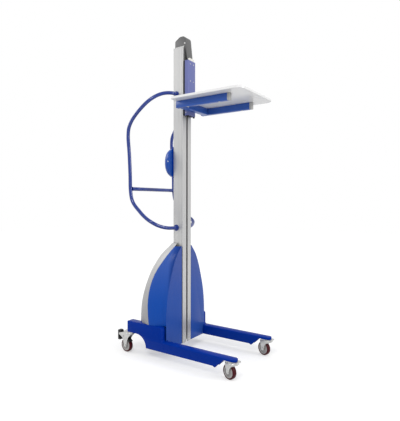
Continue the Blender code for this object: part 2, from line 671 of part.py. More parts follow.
def mast_head():
    """End cap, pulley bracket with its two pins, and the pulleys."""
    half = MAST_WIDTH / 2
    strap_half = STRAP_WIDTH / 2 + 0.002
    low = (-half, MAST_FRONT_Y)
    high = (half, MAST_REAR_Y)
    rim = rounded_rectangle(low, high, (MAST_CORNER,) * 4, 2)
    window = [(-strap_half, STRAP_REAR_Y - 0.004), (strap_half, STRAP_REAR_Y - 0.004),
              (strap_half, STRAP_REAR_Y + 0.003), (-strap_half, STRAP_REAR_Y + 0.003)]
    cap_z = MAST_TOP_Z + GAP + END_CAP_THICK / 2
    outline("mast_end_cap", [rim, window], "XY", cap_z, END_CAP_THICK, SILVER_SHELL)

    base = CAP_TOP_Z + GAP
    front = BRACKET_FRONT_Y
    rear = STRAP_REAR_Y - STRAP_THICK / 2 - 0.002
    wide = PULLEY_BASE_WIDTH / 2
    item = box("pulley_bracket", (-wide, front, base), (wide, rear, base + PULLEY_BASE_THICK), ZINC)
    ear_x = HOOD_WIDTH / 2 - HOOD_WALL - GAP - EAR_THICK / 2
    ear_top = PULLEY_Z + 0.010
    for side in (-1, 1):
        ear = [(front + 0.002, base + 0.001), (rear - 0.002, base + 0.001), (rear - 0.008, ear_top),
               (front + 0.008, ear_top)]
        boolean(item, outline("ear_" + str(side), [ear], "YZ", side * ear_x, EAR_THICK, cutter=True), "UNION")
    for label, y in (("front", FRONT_PULLEY_Y), ("rear", REAR_PULLEY_Y)):
        pin = cylinder("pin_" + label, (0, y, PULLEY_Z), (1, 0, 0), PIN_RADIUS, 2 * ear_x + EAR_THICK, 16,
                       cutter=True)
        boolean(item, pin, "UNION")
        bore = PIN_RADIUS + BORE_CLEARANCE
        half_width = PULLEY_WIDTH / 2
        band = STRAP_WIDTH / 2 + 0.001
        lip = PULLEY_RADIUS + 0.001
        profile = [(bore, half_width), (bore, -half_width), (lip, -half_width), (lip, -band - 0.001),
                   (PULLEY_RADIUS, -band), (PULLEY_RADIUS, band), (lip, band + 0.001), (lip, half_width)]
        smooth(turned("strap_pulley_" + label, profile, (0, y, PULLEY_Z), (1, 0, 0), NATURAL_NYLON, 20))


def hood():
    """Moulded pulley hood, hook shaped from the side, with an apron that hangs before the mast."""
    base = PULLEY_BASE_TOP_Z + GAP
    w = HOOD_WALL
    top = HOOD_TOP_Z
    rear = HOOD_REAR_Y
    crest = top - 0.0265
    brow = (FRONT_PULLEY_Y - PULLEY_RADIUS - 0.0055, top - 0.024)
    shape = [(rear, base), (rear, crest)]
    shape += [(rear - 0.004, crest + 0.005), (rear - 0.034, top - 0.003), (rear - 0.042, top)]
    shape += [(brow[0] + 0.022, top), (brow[0] + 0.010, top - 0.006), (brow[0] + 0.002, top - 0.015), brow]
    shape += [(HOOD_APRON_Y, HOOD_APRON_Z), (HOOD_APRON_Y + 0.004, HOOD_APRON_Z)]
    shape += [(brow[0] + 0.0035, base - 0.024), (BRACKET_FRONT_Y - 0.0040, base - 0.008),
              (BRACKET_FRONT_Y - SLIDE_GAP, base)]
    item = outline("pulley_hood", [shape], "YZ", 0.0, HOOD_WIDTH, DARK_PLASTIC)
    room = [(rear - w, base - 0.02), (rear - w, crest - 0.001)]
    room += [(rear - 0.0055, crest + 0.003), (rear - 0.035, top - 0.003 - w), (rear - 0.042, top - w)]
    room += [(brow[0] + 0.022, top - w), (brow[0] + 0.0115, top - 0.006 - w), (brow[0] + 0.0045, top - 0.016)]
    room += [(brow[0] + w, brow[1] - 0.001), (HOOD_APRON_Y + w, HOOD_APRON_Z - 0.01), (rear - w, HOOD_APRON_Z - 0.01)]
    boolean(item, outline("hood_room", [room], "YZ", 0.0, HOOD_WIDTH - 2 * w, cutter=True))
    return item


def strap():
    """Lifting strap: a front run to the carriage, and the run over both pulleys down to the drum."""
    half = STRAP_THICK / 2
    top = PULLEY_Z
    clamp_top = CARRIAGE_TOP_Z - 0.040
    wide = STRAP_WIDTH / 2
    box("lift_strap_front", (-wide, STRAP_FRONT_Y - half, clamp_top - CLAMP_HEIGHT + 0.004),
        (wide, STRAP_FRONT_Y + half, top - GAP), WEBBING)
    inner = PULLEY_RADIUS + GAP
    outer = inner + STRAP_THICK
    outside = arc((FRONT_PULLEY_Y, top), outer, 180, 90, 6) + arc((REAR_PULLEY_Y, top), outer, 90, 0, 6)
    inside = arc((FRONT_PULLEY_Y, top), inner, 180, 90, 6) + arc((REAR_PULLEY_Y, top), inner, 90, 0, 6)
    outside.append((STRAP_REAR_Y + half, DRUM_Z))
    inside.append((STRAP_REAR_Y - half, DRUM_Z))
    outline("lift_strap_rear", [outside + list(reversed(inside))], "YZ", 0.0, STRAP_WIDTH, WEBBING)


def drive():
    """Winding drum with its strap roll, on the shaft of the gearmotor behind the mast."""
    centre = (0.0, DRUM_Y, DRUM_Z)
    bore = PIN_RADIUS + BORE_CLEARANCE
    half = STRAP_WIDTH / 2 + 0.0012
    end = half + FLANGE_THICK
    profile = [(bore, end), (bore, -end), (FLANGE_RADIUS, -end), (FLANGE_RADIUS, -half),
               (ROLL_RADIUS, -half), (ROLL_RADIUS, half), (FLANGE_RADIUS, half), (FLANGE_RADIUS, end)]
    smooth(turned("winding_drum", profile, centre, (1, 0, 0), ZINC, 24))

    start = MAST_WIDTH / 2 + GAP + FOOT_BRACKET_THICK + 0.003
    side = GEARBOX_SIDE / 2
    item = box("gearmotor", (start, DRUM_Y - side, DRUM_Z - side),
               (start + GEARBOX_LENGTH, DRUM_Y + side, DRUM_Z + side), DARK_PLASTIC)
    motor_start = start + GEARBOX_LENGTH - 0.001
    motor = cylinder("motor_can", (motor_start + MOTOR_LENGTH / 2, DRUM_Y, DRUM_Z), (1, 0, 0),
                     MOTOR_RADIUS, MOTOR_LENGTH, 20, cutter=True)
    boolean(item, motor, "UNION")
    shaft_end = -end - 0.004
    shaft = cylinder("drum_shaft", ((start + 0.001 + shaft_end) / 2, DRUM_Y, DRUM_Z), (1, 0, 0), PIN_RADIUS,
                     start + 0.001 - shaft_end, 16, cutter=True)
    boolean(item, shaft, "UNION")
    beam_top = TRAY_TOP_Z + GAP + BEAM_HEIGHT + GAP
    foot_rear = MAST_REAR_Y + SLIDE_GAP + BEAM_DEPTH
    foot = box("motor_foot", (start + 0.004, MAST_REAR_Y + SLIDE_GAP + 0.002, beam_top),
               (start + GEARBOX_LENGTH - 0.004, foot_rear - 0.002, DRUM_Z - side + 0.002), cutter=True)
    boolean(item, foot, "UNION")


def power():
    """Battery pack on the tray and the controller on the rear beam."""
    wide, deep, tall = BATTERY_SIZE
    base = TRAY_TOP_Z + GAP
    low = MAST_REAR_Y + SLIDE_GAP + BEAM_DEPTH + 0.004
    box("battery_pack", (-wide / 2, low, base), (wide / 2, low + deep, base + tall), DARK_PLASTIC, bevel=0.003)
    wide, deep, tall = CONTROLLER_SIZE
    low = TRAY_REAR_Y + 0.003
    z = REAR_SHELF_Z + BEAM_WALL + GAP
    box("motor_controller", (-wide / 2, low, z), (wide / 2, low + deep, z + tall), DARK_PLASTIC)


def blended(share, column):
    """Smooth value between the fairing's stations, by a Catmull-Rom curve."""
    rows = FAIRING_STATIONS
    index = max(i for i, row in enumerate(rows) if row[0] <= share + 1e-9)
    index = min(index, len(rows) - 2)
    before = rows[max(index - 1, 0)]
    here = rows[index]
    there = rows[index + 1]
    after = rows[min(index + 2, len(rows) - 1)]
    t = (share - here[0]) / (there[0] - here[0])
    slope_here = (there[column] - before[column]) / (there[0] - before[0]) * (there[0] - here[0])
    slope_there = (after[column] - here[column]) / (after[0] - here[0]) * (there[0] - here[0])
    return ((2 * t ** 3 - 3 * t ** 2 + 1) * here[column] + (t ** 3 - 2 * t ** 2 + t) * slope_here
            + (-2 * t ** 3 + 3 * t ** 2) * there[column] + (t ** 3 - t ** 2) * slope_there)


def fairing_section(z):
    """Half width, crease, seam and rear place of the fairing at a height, and the squareness of its rear."""
    base = RAISED_TOP_Z + SLIDE_GAP
    share = min(max((z - base) / (FAIRING_TOP_Z - base), 0.0), 1.0)
    half = FAIRING_TOP_HALF + blended(share, 1) * (FAIRING_BASE_HALF - FAIRING_TOP_HALF)
    inner = MAST_WIDTH / 2 + FAIRING_MAST_GAP
    crease = inner + blended(share, 2) * (half - inner)
    seam = FAIRING_FRONT_Y + blended(share, 3) * (FAIRING_REAR_Y - FAIRING_FRONT_Y)
    back = MAST_REAR_Y + FAIRING_BACK_GAP
    rear = back + blended(share, 4) * (FAIRING_REAR_Y - back)
    power = 2.15 + 6.0 * share ** 16
    return half, crease, seam, rear, power


def shell(name, rows, wanted, material):
    """Moulded wall from a grid of points: the wanted quads, thickened inwards."""
    skin = bmesh.new()
    grid = [[skin.verts.new(point) for point in row] for row in rows]
    for i in range(len(rows) - 1):
        for j in range(len(rows[0]) - 1):
            if wanted(i, j):
                skin.faces.new((grid[i][j], grid[i][j + 1], grid[i + 1][j + 1], grid[i + 1][j]))
    loose = [vert for vert in skin.verts if not vert.link_faces]
    bmesh.ops.delete(skin, geom=loose, context="VERTS")
    mesh = bpy.data.meshes.new(name)
    skin.to_mesh(mesh)
    skin.free()
    item = add(name, mesh, material)
    wall = item.modifiers.new("wall", "SOLIDIFY")
    wall.thickness = FAIRING_THICK
    wall.offset = -1.0
    wall.use_even_offset = True
    return smooth(item, 40.0)


def fairing():
    """Two blue shells beside the mast and the silver rear cover, lofted between sections."""
    base = RAISED_TOP_Z + SLIDE_GAP
    shares = (0.0, 0.08, 0.16, 0.24, 0.32, 0.40, 0.48, 0.56, 0.64, 0.72, 0.80, 0.87, 0.93, 0.97, 1.0)
    blue_heights = [base + (BLUE_SHELL_TOP_Z - base) * share for share in shares]
    silver_heights = blue_heights + [(BLUE_SHELL_TOP_Z + FAIRING_TOP_Z) / 2, FAIRING_TOP_Z]
    inner = MAST_WIDTH / 2 + FAIRING_MAST_GAP
    leg_side = LEG_IN_X - SLIDE_GAP
    low_front = LEG_BOTTOM_Z + GAP
    over_leg = LEG_TOP_Z + PANEL_OVER_LEG
    front_share = (leg_side - inner) / (fairing_section(base)[1] - inner)

    def front_row(z):
        half, crease, seam, rear, power = fairing_section(z)
        mark = inner + (crease - inner) * front_share
        points = [(inner, FAIRING_FRONT_Y), ((inner + mark) / 2, FAIRING_FRONT_Y), (mark, FAIRING_FRONT_Y),
                  (crease, FAIRING_FRONT_Y)]
        depth = seam - SLIDE_GAP - FAIRING_FRONT_Y
        points += [(crease + (half - crease) * out, FAIRING_FRONT_Y + depth * back) for out, back in SIDE_SWEEP]
        return [(x, y, z) for x, y in points]

    rows = [front_row(z) for z in [low_front, over_leg] + blue_heights]

    def wanted_front(i, j):
        return j < (2, 4, len(rows[0]))[min(i, 2)]

    count = len(rows[0]) - 1
    left = [[(-x, y, z) for x, y, z in reversed(row)] for row in rows]
    shell("fairing_left", left, lambda i, j: wanted_front(i, count - 1 - j), BLUE_SHELL)
    shell("fairing_right", rows, wanted_front, BLUE_SHELL)

    half, crease, seam, rear, power = fairing_section(base)
    cut = math.acos((leg_side / half) ** (power / 2)) / (math.pi / 2)
    turns = [0.0, cut / 2, cut] + [cut + (1.0 - cut) * k / 7 for k in range(1, 8)]
    low_rear = RAISED_UNDER_Z + SLIDE_GAP

    def rear_row(z):
        half, crease, seam, rear, power = fairing_section(z)
        start = seam + SEAM_STRIP
        points = [(half, seam, z)]
        for turn in turns:
            angle = turn * math.pi / 2
            x = half * max(math.cos(angle), 0.0) ** (2 / power)
            y = start + (rear - start) * math.sin(angle) ** (2 / power)
            points.append((x, y, z))
        points[-1] = (0.0, rear, z)
        mirrored = [(-x, y, z) for x, y, z in reversed(points[:-1])]
        return points + mirrored

    cover_rows = [rear_row(z) for z in [low_rear] + silver_heights]
    last = len(cover_rows[0]) - 2

    def wanted_rear(i, j):
        return i > 0 or 3 <= j <= last - 3

    shell("rear_cover", cover_rows, wanted_rear, SILVER_SHELL)


def carriage():
    """Folded housing before the mast, two slide shoes in the mast's chamber, strap clamp and top stop."""
    half = CARRIAGE_WIDTH / 2
    front = CARRIAGE_FRONT_Y
    rear = CARRIAGE_REAR_Y
    wall = CARRIAGE_WALL
    c = CARRIAGE_CORNER
    outer = arc((-half + c, front + c), c, 180, 270, 4) + arc((half - c, front + c), c, 270, 360, 4)
    inner = arc((half - c, front + c), c - wall, 360, 270, 4) + arc((-half + c, front + c), c - wall, 270, 180, 4)
    loop = [(-half, rear)] + outer + [(half, rear), (half - wall, rear)] + inner + [(-half + wall, rear)]
    height = CARRIAGE_TOP_Z - CARRIAGE_BOTTOM_Z
    middle = CARRIAGE_BOTTOM_Z + height / 2
    item = outline("carriage_housing", [loop], "XY", middle, height, LILAC_PAINT)
    lid = box("carriage_lid", (-half + wall / 2, front + wall / 2, CARRIAGE_TOP_Z - wall),
              (half - wall / 2, STRAP_FRONT_Y - 0.004, CARRIAGE_TOP_Z - 0.0001), cutter=True)
    boolean(item, lid, "UNION")

    neck = MAST_SLOT / 2 - SHOE_PLAY
    head = SHOE_HEAD_WIDTH / 2
    pad_front = front + wall + GAP
    web = MAST_WEB_Y - MAST_WALL - SHOE_PLAY
    lip = MAST_FRONT_Y + MAST_WALL + SHOE_PLAY
    pad = half - wall - GAP
    upper = CARRIAGE_TOP_Z - 0.095 - SHOE_LENGTH
    lower = CARRIAGE_BOTTOM_Z + 0.010
    for name, z in (("slide_shoe_upper", upper), ("slide_shoe_lower", lower)):
        tee = [(-pad, pad_front + c), (-pad + c, pad_front), (pad - c, pad_front), (pad, pad_front + c),
               (pad, rear - 0.001), (neck, rear - 0.001), (neck, lip), (head, lip), (head, web), (-head, web),
               (-head, lip), (-neck, lip), (-neck, rear - 0.001), (-pad, rear - 0.001)]
        outline(name, [tee], "XY", z + SHOE_LENGTH / 2, SHOE_LENGTH, BLACK_PLASTIC)

    top = CARRIAGE_TOP_Z - 0.040
    block = CLAMP_WIDTH / 2
    back = STRAP_FRONT_Y - STRAP_THICK / 2 - GAP
    box("strap_clamp", (-block, pad_front, top - CLAMP_HEIGHT), (block, back, top), ZINC)
    stop_front = CARRIAGE_FRONT_Y + 0.0025
    z = CARRIAGE_TOP_Z + GAP
    pad_loop = rounded_rectangle((-STOP_WIDTH / 2, z), (STOP_WIDTH / 2, z + STOP_HEIGHT),
                                 (0.0, 0.0, STOP_HEIGHT * 0.45, STOP_HEIGHT * 0.45), 4)
    outline("carriage_top_stop", [pad_loop], "XZ", -(stop_front + STOP_DEPTH / 2), STOP_DEPTH, NATURAL_NYLON)


def load_frame():
    """Two rectangular tubes with end plugs, the cross tube between them, and the platform."""
    half = BAR_WIDTH / 2
    z0 = BAR_BOTTOM_Z
    z1 = BAR_TOP_Z
    rear = CARRIAGE_FRONT_Y - GAP
    inner = BAR_IN_X - GAP
    tube = box("cross_tube", (-inner, rear - CROSS_TUBE_DEPTH, z0), (inner, rear, z1), BLUE_PAINT)
    boolean(tube, box("cross_tube_hole", (-inner - 0.01, rear - CROSS_TUBE_DEPTH + BAR_WALL, z0 + BAR_WALL),
                      (inner + 0.01, rear - BAR_WALL, z1 - BAR_WALL), cutter=True))
    for side, label in ((-1, "left"), (1, "right")):
        x = side * BAR_CENTRE_X
        section = rounded_rectangle((x - half, z0), (x + half, z1), (0.003,) * 4, 2)
        hole = rounded_rectangle((x - half + BAR_WALL, z0 + BAR_WALL), (x + half - BAR_WALL, z1 - BAR_WALL),
                                 (0.0,) * 4)
        length = BAR_REAR_Y - BAR_FRONT_Y
        outline("load_bar_" + label, [section, hole], "XZ", -(BAR_REAR_Y + BAR_FRONT_Y) / 2, length, BLUE_PAINT)
        face = rounded_rectangle((x - half, z0), (x + half, z1), (0.004,) * 4, 3)
        plug = outline("bar_plug_" + label, [face], "XZ", -(BAR_FRONT_Y - GAP - PLUG_HEAD / 2), PLUG_HEAD, GREY_PLUG)
        inset = BAR_WALL + GAP
        shank = box("plug_shank_" + label, (x - half + inset, BAR_FRONT_Y - GAP - 0.002, z0 + inset),
                    (x + half - inset, BAR_FRONT_Y + PLUG_SHANK, z1 - inset), cutter=True)
        boolean(plug, shank, "UNION")
    wide = PLATFORM_WIDTH / 2
    notch = CARRIAGE_WIDTH / 2 + NOTCH_CLEARANCE
    deep = CARRIAGE_FRONT_Y - NOTCH_CLEARANCE
    plan = rounded_rectangle((-wide, PLATFORM_FRONT_Y), (wide, PLATFORM_REAR_Y),
                             (PLATFORM_FRONT_CORNER, PLATFORM_FRONT_CORNER, PLATFORM_REAR_CORNER,
                              PLATFORM_REAR_CORNER), 6)
    plan = plan[:21] + [(notch, PLATFORM_REAR_Y), (notch, deep), (-notch, deep), (-notch, PLATFORM_REAR_Y)] + plan[21:]
    item = outline("platform", [plan], "XY", PLATFORM_BOTTOM_Z + PLATFORM_THICK / 2, PLATFORM_THICK, WHITE_SHEET)
    ease = item.modifiers.new("edge", "BEVEL")
    ease.width = PLATFORM_EDGE
    ease.segments = 2
    ease.limit_method = "ANGLE"
    ease.angle_limit = math.radians(60)
    return item


def tube_along(name, points, radius, material, rings):
    """Bent tube through points, with closed ends."""
    curve = bpy.data.curves.new(name, "CURVE")
    curve.dimensions = "3D"
    curve.bevel_depth = radius
    curve.bevel_resolution = 3
    curve.use_fill_caps = True
    curve.resolution_u = rings
    spline = curve.splines.new("BEZIER")
    spline.bezier_points.add(len(points) - 1)
    for knot, point in zip(spline.bezier_points, points):
        knot.co = point
        knot.handle_left_type = "AUTO"
        knot.handle_right_type = "AUTO"
    item = bpy.data.objects.new(name, curve)
    curve.materials.append(material)
    MODEL.objects.link(item)
    return item


def handle_knots():
    """Centre line of the left push handle, from its upper foot on the mast to its lower foot."""
    foot = MAST_WIDTH / 2 + GAP
    wide = HANDLE_HALF_WIDTH
    y0 = HANDLE_FOOT_Y
    top = HANDLE_TOP_Z
    low = HANDLE_BOTTOM_Z
    span_top = HANDLE_TOP_Y - y0
    span_low = HANDLE_LOW_Y - y0
    drop = top - HANDLE_BEND_TOP_Z
    rise = HANDLE_BEND_LOW_Z - low
    reach = foot + HANDLE_STUB
    upper = ((0.527, 0.104, 0.012), (0.675, 0.190, 0.064), (0.802, 0.289, 0.148), (0.903, 0.408, 0.262),
             (0.966, 0.591, 0.433), (0.996, 0.785, 0.627), (1.000, 0.927, 0.807), (1.000, 1.000, 1.000))
    lower = ((1.000, 1.000, 1.000), (1.000, 0.912, 0.778), (1.000, 0.730, 0.576), (0.996, 0.486, 0.347),
             (0.958, 0.236, 0.178), (0.785, 0.124, 0.070), (0.570, 0.043, 0.013))
    knots = [(foot, y0, top), (reach, y0, top)]
    knots += [(wide * out, y0 + span_top * back, top - drop * down) for out, back, down in upper]
    for share in (0.33, 0.67):
        knots.append((wide, HANDLE_TOP_Y + share * (HANDLE_LOW_Y - HANDLE_TOP_Y),
                      HANDLE_BEND_TOP_Z + share * (HANDLE_BEND_LOW_Z - HANDLE_BEND_TOP_Z)))
    knots += [(wide * out, y0 + span_low * back, low + rise * up) for out, back, up in lower]
    knots += [(reach, y0, low), (foot, y0, low)]
    return knots


def handles():
    """Left and right bent tubes on the mast's flanks and the crossbar between them."""
    knots = handle_knots()
    tube_along("push_handle_left", [(-x, y, z) for x, y, z in knots], TUBE_RADIUS, BLUE_PAINT, 3)
    tube_along("push_handle_right", knots, TUBE_RADIUS, BLUE_PAINT, 3)
    share = (CROSSBAR_Z - HANDLE_BEND_LOW_Z) / (HANDLE_BEND_TOP_Z - HANDLE_BEND_LOW_Z)
    y = HANDLE_LOW_Y + share * (HANDLE_TOP_Y - HANDLE_LOW_Y)
    reach = HANDLE_HALF_WIDTH - TUBE_RADIUS - GAP
    smooth(cylinder("handle_crossbar", (0, y, CROSSBAR_Z), (1, 0, 0), TUBE_RADIUS, 2 * reach, 16, BLUE_PAINT))


def pod_ring(share_x, share_z, y, count=28):
    """One section of the pod, a squared-off oval."""
    points = []
    for k in range(count):
        angle = 2 * math.pi * (k + 0.5) / count
        c = math.cos(angle)
        s = math.sin(angle)
        x = POD_HALF_WIDTH * share_x * math.copysign(abs(c) ** (2 / POD_POWER), c)
        z = POD_HALF_HEIGHT * share_z * math.copysign(abs(s) ** (2 / POD_POWER), s)
        points.append((x, y, POD_Z + z))
    return points


def control_pod():
    """Domed control housing on a plate behind the mast, with its two lift buttons, stop button and key."""
    half = POD_PLATE_WIDTH / 2
    tall = POD_HALF_HEIGHT + 0.004
    plate = rounded_rectangle((-half, POD_Z - tall), (half, POD_Z + tall), (0.008,) * 4, 3)
    outline("pod_plate", [plate], "XZ", -(MAST_REAR_Y + GAP + POD_PLATE_THICK / 2), POD_PLATE_THICK, BLUE_PAINT)

    face = POD_FACE_SHARE
    skirt = POD_SKIRT_SHARE
    layers = [(0.97, 0.0), (1.0, 0.06), (1.0, skirt)]
    steps = 6
    for k in range(1, steps + 1):
        angle = math.pi / 2 * k / steps
        layers.append((face + (1.0 - face) * math.cos(angle), skirt + (1.0 - skirt) * math.sin(angle)))
    dome = bmesh.new()
    rings = []
    for share, depth in layers:
        rings.append([dome.verts.new(p) for p in pod_ring(share, share, POD_BASE_Y + POD_DEPTH * depth)])
    count = len(rings[0])
    for low, high in zip(rings, rings[1:]):
        for k in range(count):
            dome.faces.new((low[k], low[(k + 1) % count], high[(k + 1) % count], high[k]))
    dome.faces.new(rings[0])
    dome.faces.new(list(reversed(rings[-1])))
    item = smooth(add("control_pod", mesh_from(dome, "control_pod"), BLUE_SHELL), 30.0)

    face_y = POD_FACE_Y
    play = BORE_CLEARANCE
    sockets = (("up_button", -BUTTON_SPREAD, BUTTON_Z, BUTTON_RADIUS, BUTTON_HEIGHT, BUTTON_TRAVEL, BLACK_PLASTIC),
               ("down_button", BUTTON_SPREAD, BUTTON_Z, BUTTON_RADIUS, BUTTON_HEIGHT, BUTTON_TRAVEL, BLACK_PLASTIC),
               ("emergency_stop", 0.0, STOP_BUTTON_Z, STOP_BUTTON_RADIUS, STOP_BUTTON_HEIGHT, STOP_TRAVEL, STOP_RED),
               ("key_switch", 0.0, KEY_Z, KEY_RADIUS, KEY_HEIGHT, 0.0, CHROME))
    for name, x, z, radius, height, travel, material in sockets:
        stem = radius if height < STOP_BUTTON_HEIGHT else radius * 0.55
        depth = BUTTON_STEM + travel + 0.001
        hole = cylinder(name + "_hole", (x, face_y - depth / 2 + 0.002, z), (0, 1, 0), stem + play, depth + 0.004, 20,
                        cutter=True)
        boolean(item, hole)
        top = face_y + height
        foot = face_y - BUTTON_STEM
        if stem == radius:
            profile = [(0.0, foot), (stem, foot), (stem, top - 0.001), (stem - 0.001, top), (0.0, top)]
        else:
            under = face_y + travel + 0.0015
            profile = [(0.0, foot), (stem, foot), (stem, under), (radius, under), (radius, top - 0.004),
                       (radius - 0.004, top), (0.0, top)]
        button = spun_solid(name, profile, (x, 0.0, z), material)
        button.location = (x, face_y, z)
        button.data.transform(Matrix.Translation((0.0, -face_y, 0.0)))
        if name == "key_switch":
            slit = box("key_slit", (x - 0.0008, top - 0.0015, z - 0.004), (x + 0.0008, top + 0.01, z + 0.004),
                       cutter=True)
            boolean(button, slit)
        smooth(button)


def spun_solid(name, profile, centre, material, steps=20):
    """Solid turned about a Y axis from (radius, Y) points that start and end on the axis."""
    solid = bmesh.new()
    first = solid.verts.new((0.0, profile[0][1], 0.0))
    last = solid.verts.new((0.0, profile[-1][1], 0.0))
    rings = []
    for radius, y in profile[1:-1]:
        rings.append([solid.verts.new((radius * math.cos(2 * math.pi * k / steps), y,
                                       radius * math.sin(2 * math.pi * k / steps))) for k in range(steps)])
    for k in range(steps):
        n = (k + 1) % steps
        solid.faces.new((first, rings[0][k], rings[0][n]))
        solid.faces.new((last, rings[-1][n], rings[-1][k]))
        for low, high in zip(rings, rings[1:]):
            solid.faces.new((low[k], high[k], high[n], low[n]))
    item = add(name, mesh_from(solid, name), material)
    item.location = centre
    return item


for side, label in ((-1, "left"), (1, "right")):
    leg("leg_" + label, side)
    castor("front_castor_" + label, side, FRONT_SWIVEL_Y, TONGUE_UNDER_Z - GAP, FRONT_YAW, False)
    castor("rear_castor_" + label, side, REAR_SWIVEL_Y, RAISED_UNDER_Z - GAP, side * REAR_YAW, True)
chassis()
mast()
mast_head()
hood()
strap()
drive()
power()
fairing()
carriage()
load_frame()
handles()
control_pod()
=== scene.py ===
"""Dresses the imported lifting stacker: materials, eased edges, castors, tube handles, screws and controls."""

import json
import math

import bpy
from mathutils import Matrix, Vector

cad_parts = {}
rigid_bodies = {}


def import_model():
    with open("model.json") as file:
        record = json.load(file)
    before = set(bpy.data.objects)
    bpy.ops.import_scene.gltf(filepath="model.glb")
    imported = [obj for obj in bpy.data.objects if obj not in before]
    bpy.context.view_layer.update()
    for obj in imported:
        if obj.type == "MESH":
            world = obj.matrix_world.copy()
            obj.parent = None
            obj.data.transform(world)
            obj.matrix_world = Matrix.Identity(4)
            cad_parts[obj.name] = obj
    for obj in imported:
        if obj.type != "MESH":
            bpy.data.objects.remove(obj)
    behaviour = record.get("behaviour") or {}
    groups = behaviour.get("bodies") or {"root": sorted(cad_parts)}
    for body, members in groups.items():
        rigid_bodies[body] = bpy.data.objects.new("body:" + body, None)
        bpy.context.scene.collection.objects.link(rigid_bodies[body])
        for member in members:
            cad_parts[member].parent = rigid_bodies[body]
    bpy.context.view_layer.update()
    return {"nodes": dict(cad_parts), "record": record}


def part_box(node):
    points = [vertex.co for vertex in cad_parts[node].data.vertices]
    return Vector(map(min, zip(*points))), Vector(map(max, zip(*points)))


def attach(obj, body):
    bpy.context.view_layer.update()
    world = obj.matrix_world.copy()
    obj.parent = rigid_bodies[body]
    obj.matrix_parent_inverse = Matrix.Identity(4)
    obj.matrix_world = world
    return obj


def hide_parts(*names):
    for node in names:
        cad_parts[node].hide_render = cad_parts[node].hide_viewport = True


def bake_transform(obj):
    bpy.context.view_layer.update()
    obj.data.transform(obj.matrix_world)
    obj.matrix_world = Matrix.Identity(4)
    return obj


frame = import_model()
nodes = frame["nodes"]


# The camera stands to the front left at the height of the crossbar, almost level.
# Its place and lens come from the photo's edges, in metres and millimetres.

camera_place = Vector((-2.2731, -1.5820, 1.0200))
camera_heading = math.radians(33.995)
camera_pitch = math.radians(-1.139)
camera_roll = math.radians(0.093)

bpy.ops.object.camera_add(location=camera_place)
camera = bpy.context.active_object
camera.name = "camera"
sight = Vector((math.cos(camera_pitch) * math.cos(camera_heading),
                math.cos(camera_pitch) * math.sin(camera_heading), math.sin(camera_pitch)))
turn = sight.to_track_quat("-Z", "Y").to_matrix() @ Matrix.Rotation(camera_roll, 3, "Z")
camera.rotation_euler = turn.to_euler()
camera.data.sensor_width = 36.0
camera.data.lens = 35.186
camera.data.clip_end = 60.0
bpy.context.scene.camera = camera
bpy.context.scene.view_settings.view_transform = "Standard"


class Wire:
    """One socket of a material. Sums, differences, products and quotients add its Math nodes."""

    def __init__(self, tree, socket):
        self.tree = tree
        self.socket = socket

    def node(self, kind, settings, values, output=0):
        """Any other node: its type, its settings, and the values or wires of its sockets."""
        made = self.tree.nodes.new(kind)
        for name, value in settings.items():
            if name == "stops":
                ramp = made.color_ramp.elements
                for place, shade in value[1:-1]:
                    ramp.new(place)
                for element, (place, shade) in zip(ramp, value):
                    element.position = place
                    element.color = (*shade, 1.0) if isinstance(shade, tuple) else (shade, shade, shade, 1.0)
            else:
                setattr(made, name, value)
        for name, value in values.items():
            if isinstance(value, Wire):
                self.tree.links.new(value.socket, made.inputs[name])
            elif isinstance(value, tuple) and len(value) == 3 and made.inputs[name].type == "RGBA":
                made.inputs[name].default_value = (*value, 1.0)
            else:
                made.inputs[name].default_value = value
        return Wire(self.tree, made.outputs[output] if made.outputs else None)

    def math(self, operation, first, second):
        return self.node("ShaderNodeMath", {"operation": operation}, {0: first, 1: second})

    def __add__(self, other):
        return self.math("ADD", self, other)

    def __radd__(self, other):
        return self.math("ADD", other, self)

    def __sub__(self, other):
        return self.math("SUBTRACT", self, other)

    def __rsub__(self, other):
        return self.math("SUBTRACT", other, self)

    def __mul__(self, other):
        return self.math("MULTIPLY", self, other)

    def __rmul__(self, other):
        return self.math("MULTIPLY", other, self)

    def __truediv__(self, other):
        return self.math("DIVIDE", self, other)


# The studio: a white floor that keeps soft shadows near the object, a white surround and three soft lamps.
# The key lamp stands to the left of the camera and high, the fill to its right, and the third behind.

def seen_directly(tree):
    """1 for what the camera, mirrors and glass see, 0 for light that bounces."""
    path = Wire(tree, None).node("ShaderNodeLightPath", {}, {}, "Is Camera Ray")
    outputs = path.socket.node.outputs
    seen = path.math("MAXIMUM", path, Wire(tree, outputs["Is Glossy Ray"]))
    return seen.math("MAXIMUM", seen, Wire(tree, outputs["Is Transmission Ray"]))


def ramp_of(value, low, high, first, last):
    """Smooth change from a first to a last level as a value goes from low to high."""
    return value.node("ShaderNodeMapRange", {"interpolation_type": "SMOOTHSTEP"},
                      {"Value": value, "From Min": low, "From Max": high, "To Min": first, "To Max": last})


floor_white = bpy.data.materials.new("floor_white")
floor_white.use_nodes = True
floor_tree = floor_white.node_tree
floor_tree.nodes.clear()
floor_start = Wire(floor_tree, None)
floor_diffuse = floor_start.node("ShaderNodeBsdfDiffuse", {}, {"Color": (0.72, 0.72, 0.72)})
floor_place = floor_start.node("ShaderNodeTexCoord", {}, {}, "Object")
floor_reach = floor_start.node("ShaderNodeVectorMath", {"operation": "LENGTH"}, {0: floor_place}, "Value")
shadow_reach = 0.6
white_reach = 3.2
floor_level = ramp_of(floor_reach, shadow_reach, white_reach, 0.39, 0.60)
floor_lift = seen_directly(floor_tree) * floor_level
floor_glow = floor_start.node("ShaderNodeEmission", {}, {"Color": (1.0, 1.0, 1.0), "Strength": floor_lift})
floor_both = floor_start.node("ShaderNodeAddShader", {}, {0: floor_diffuse, 1: floor_glow})
floor_start.node("ShaderNodeOutputMaterial", {}, {"Surface": floor_both})

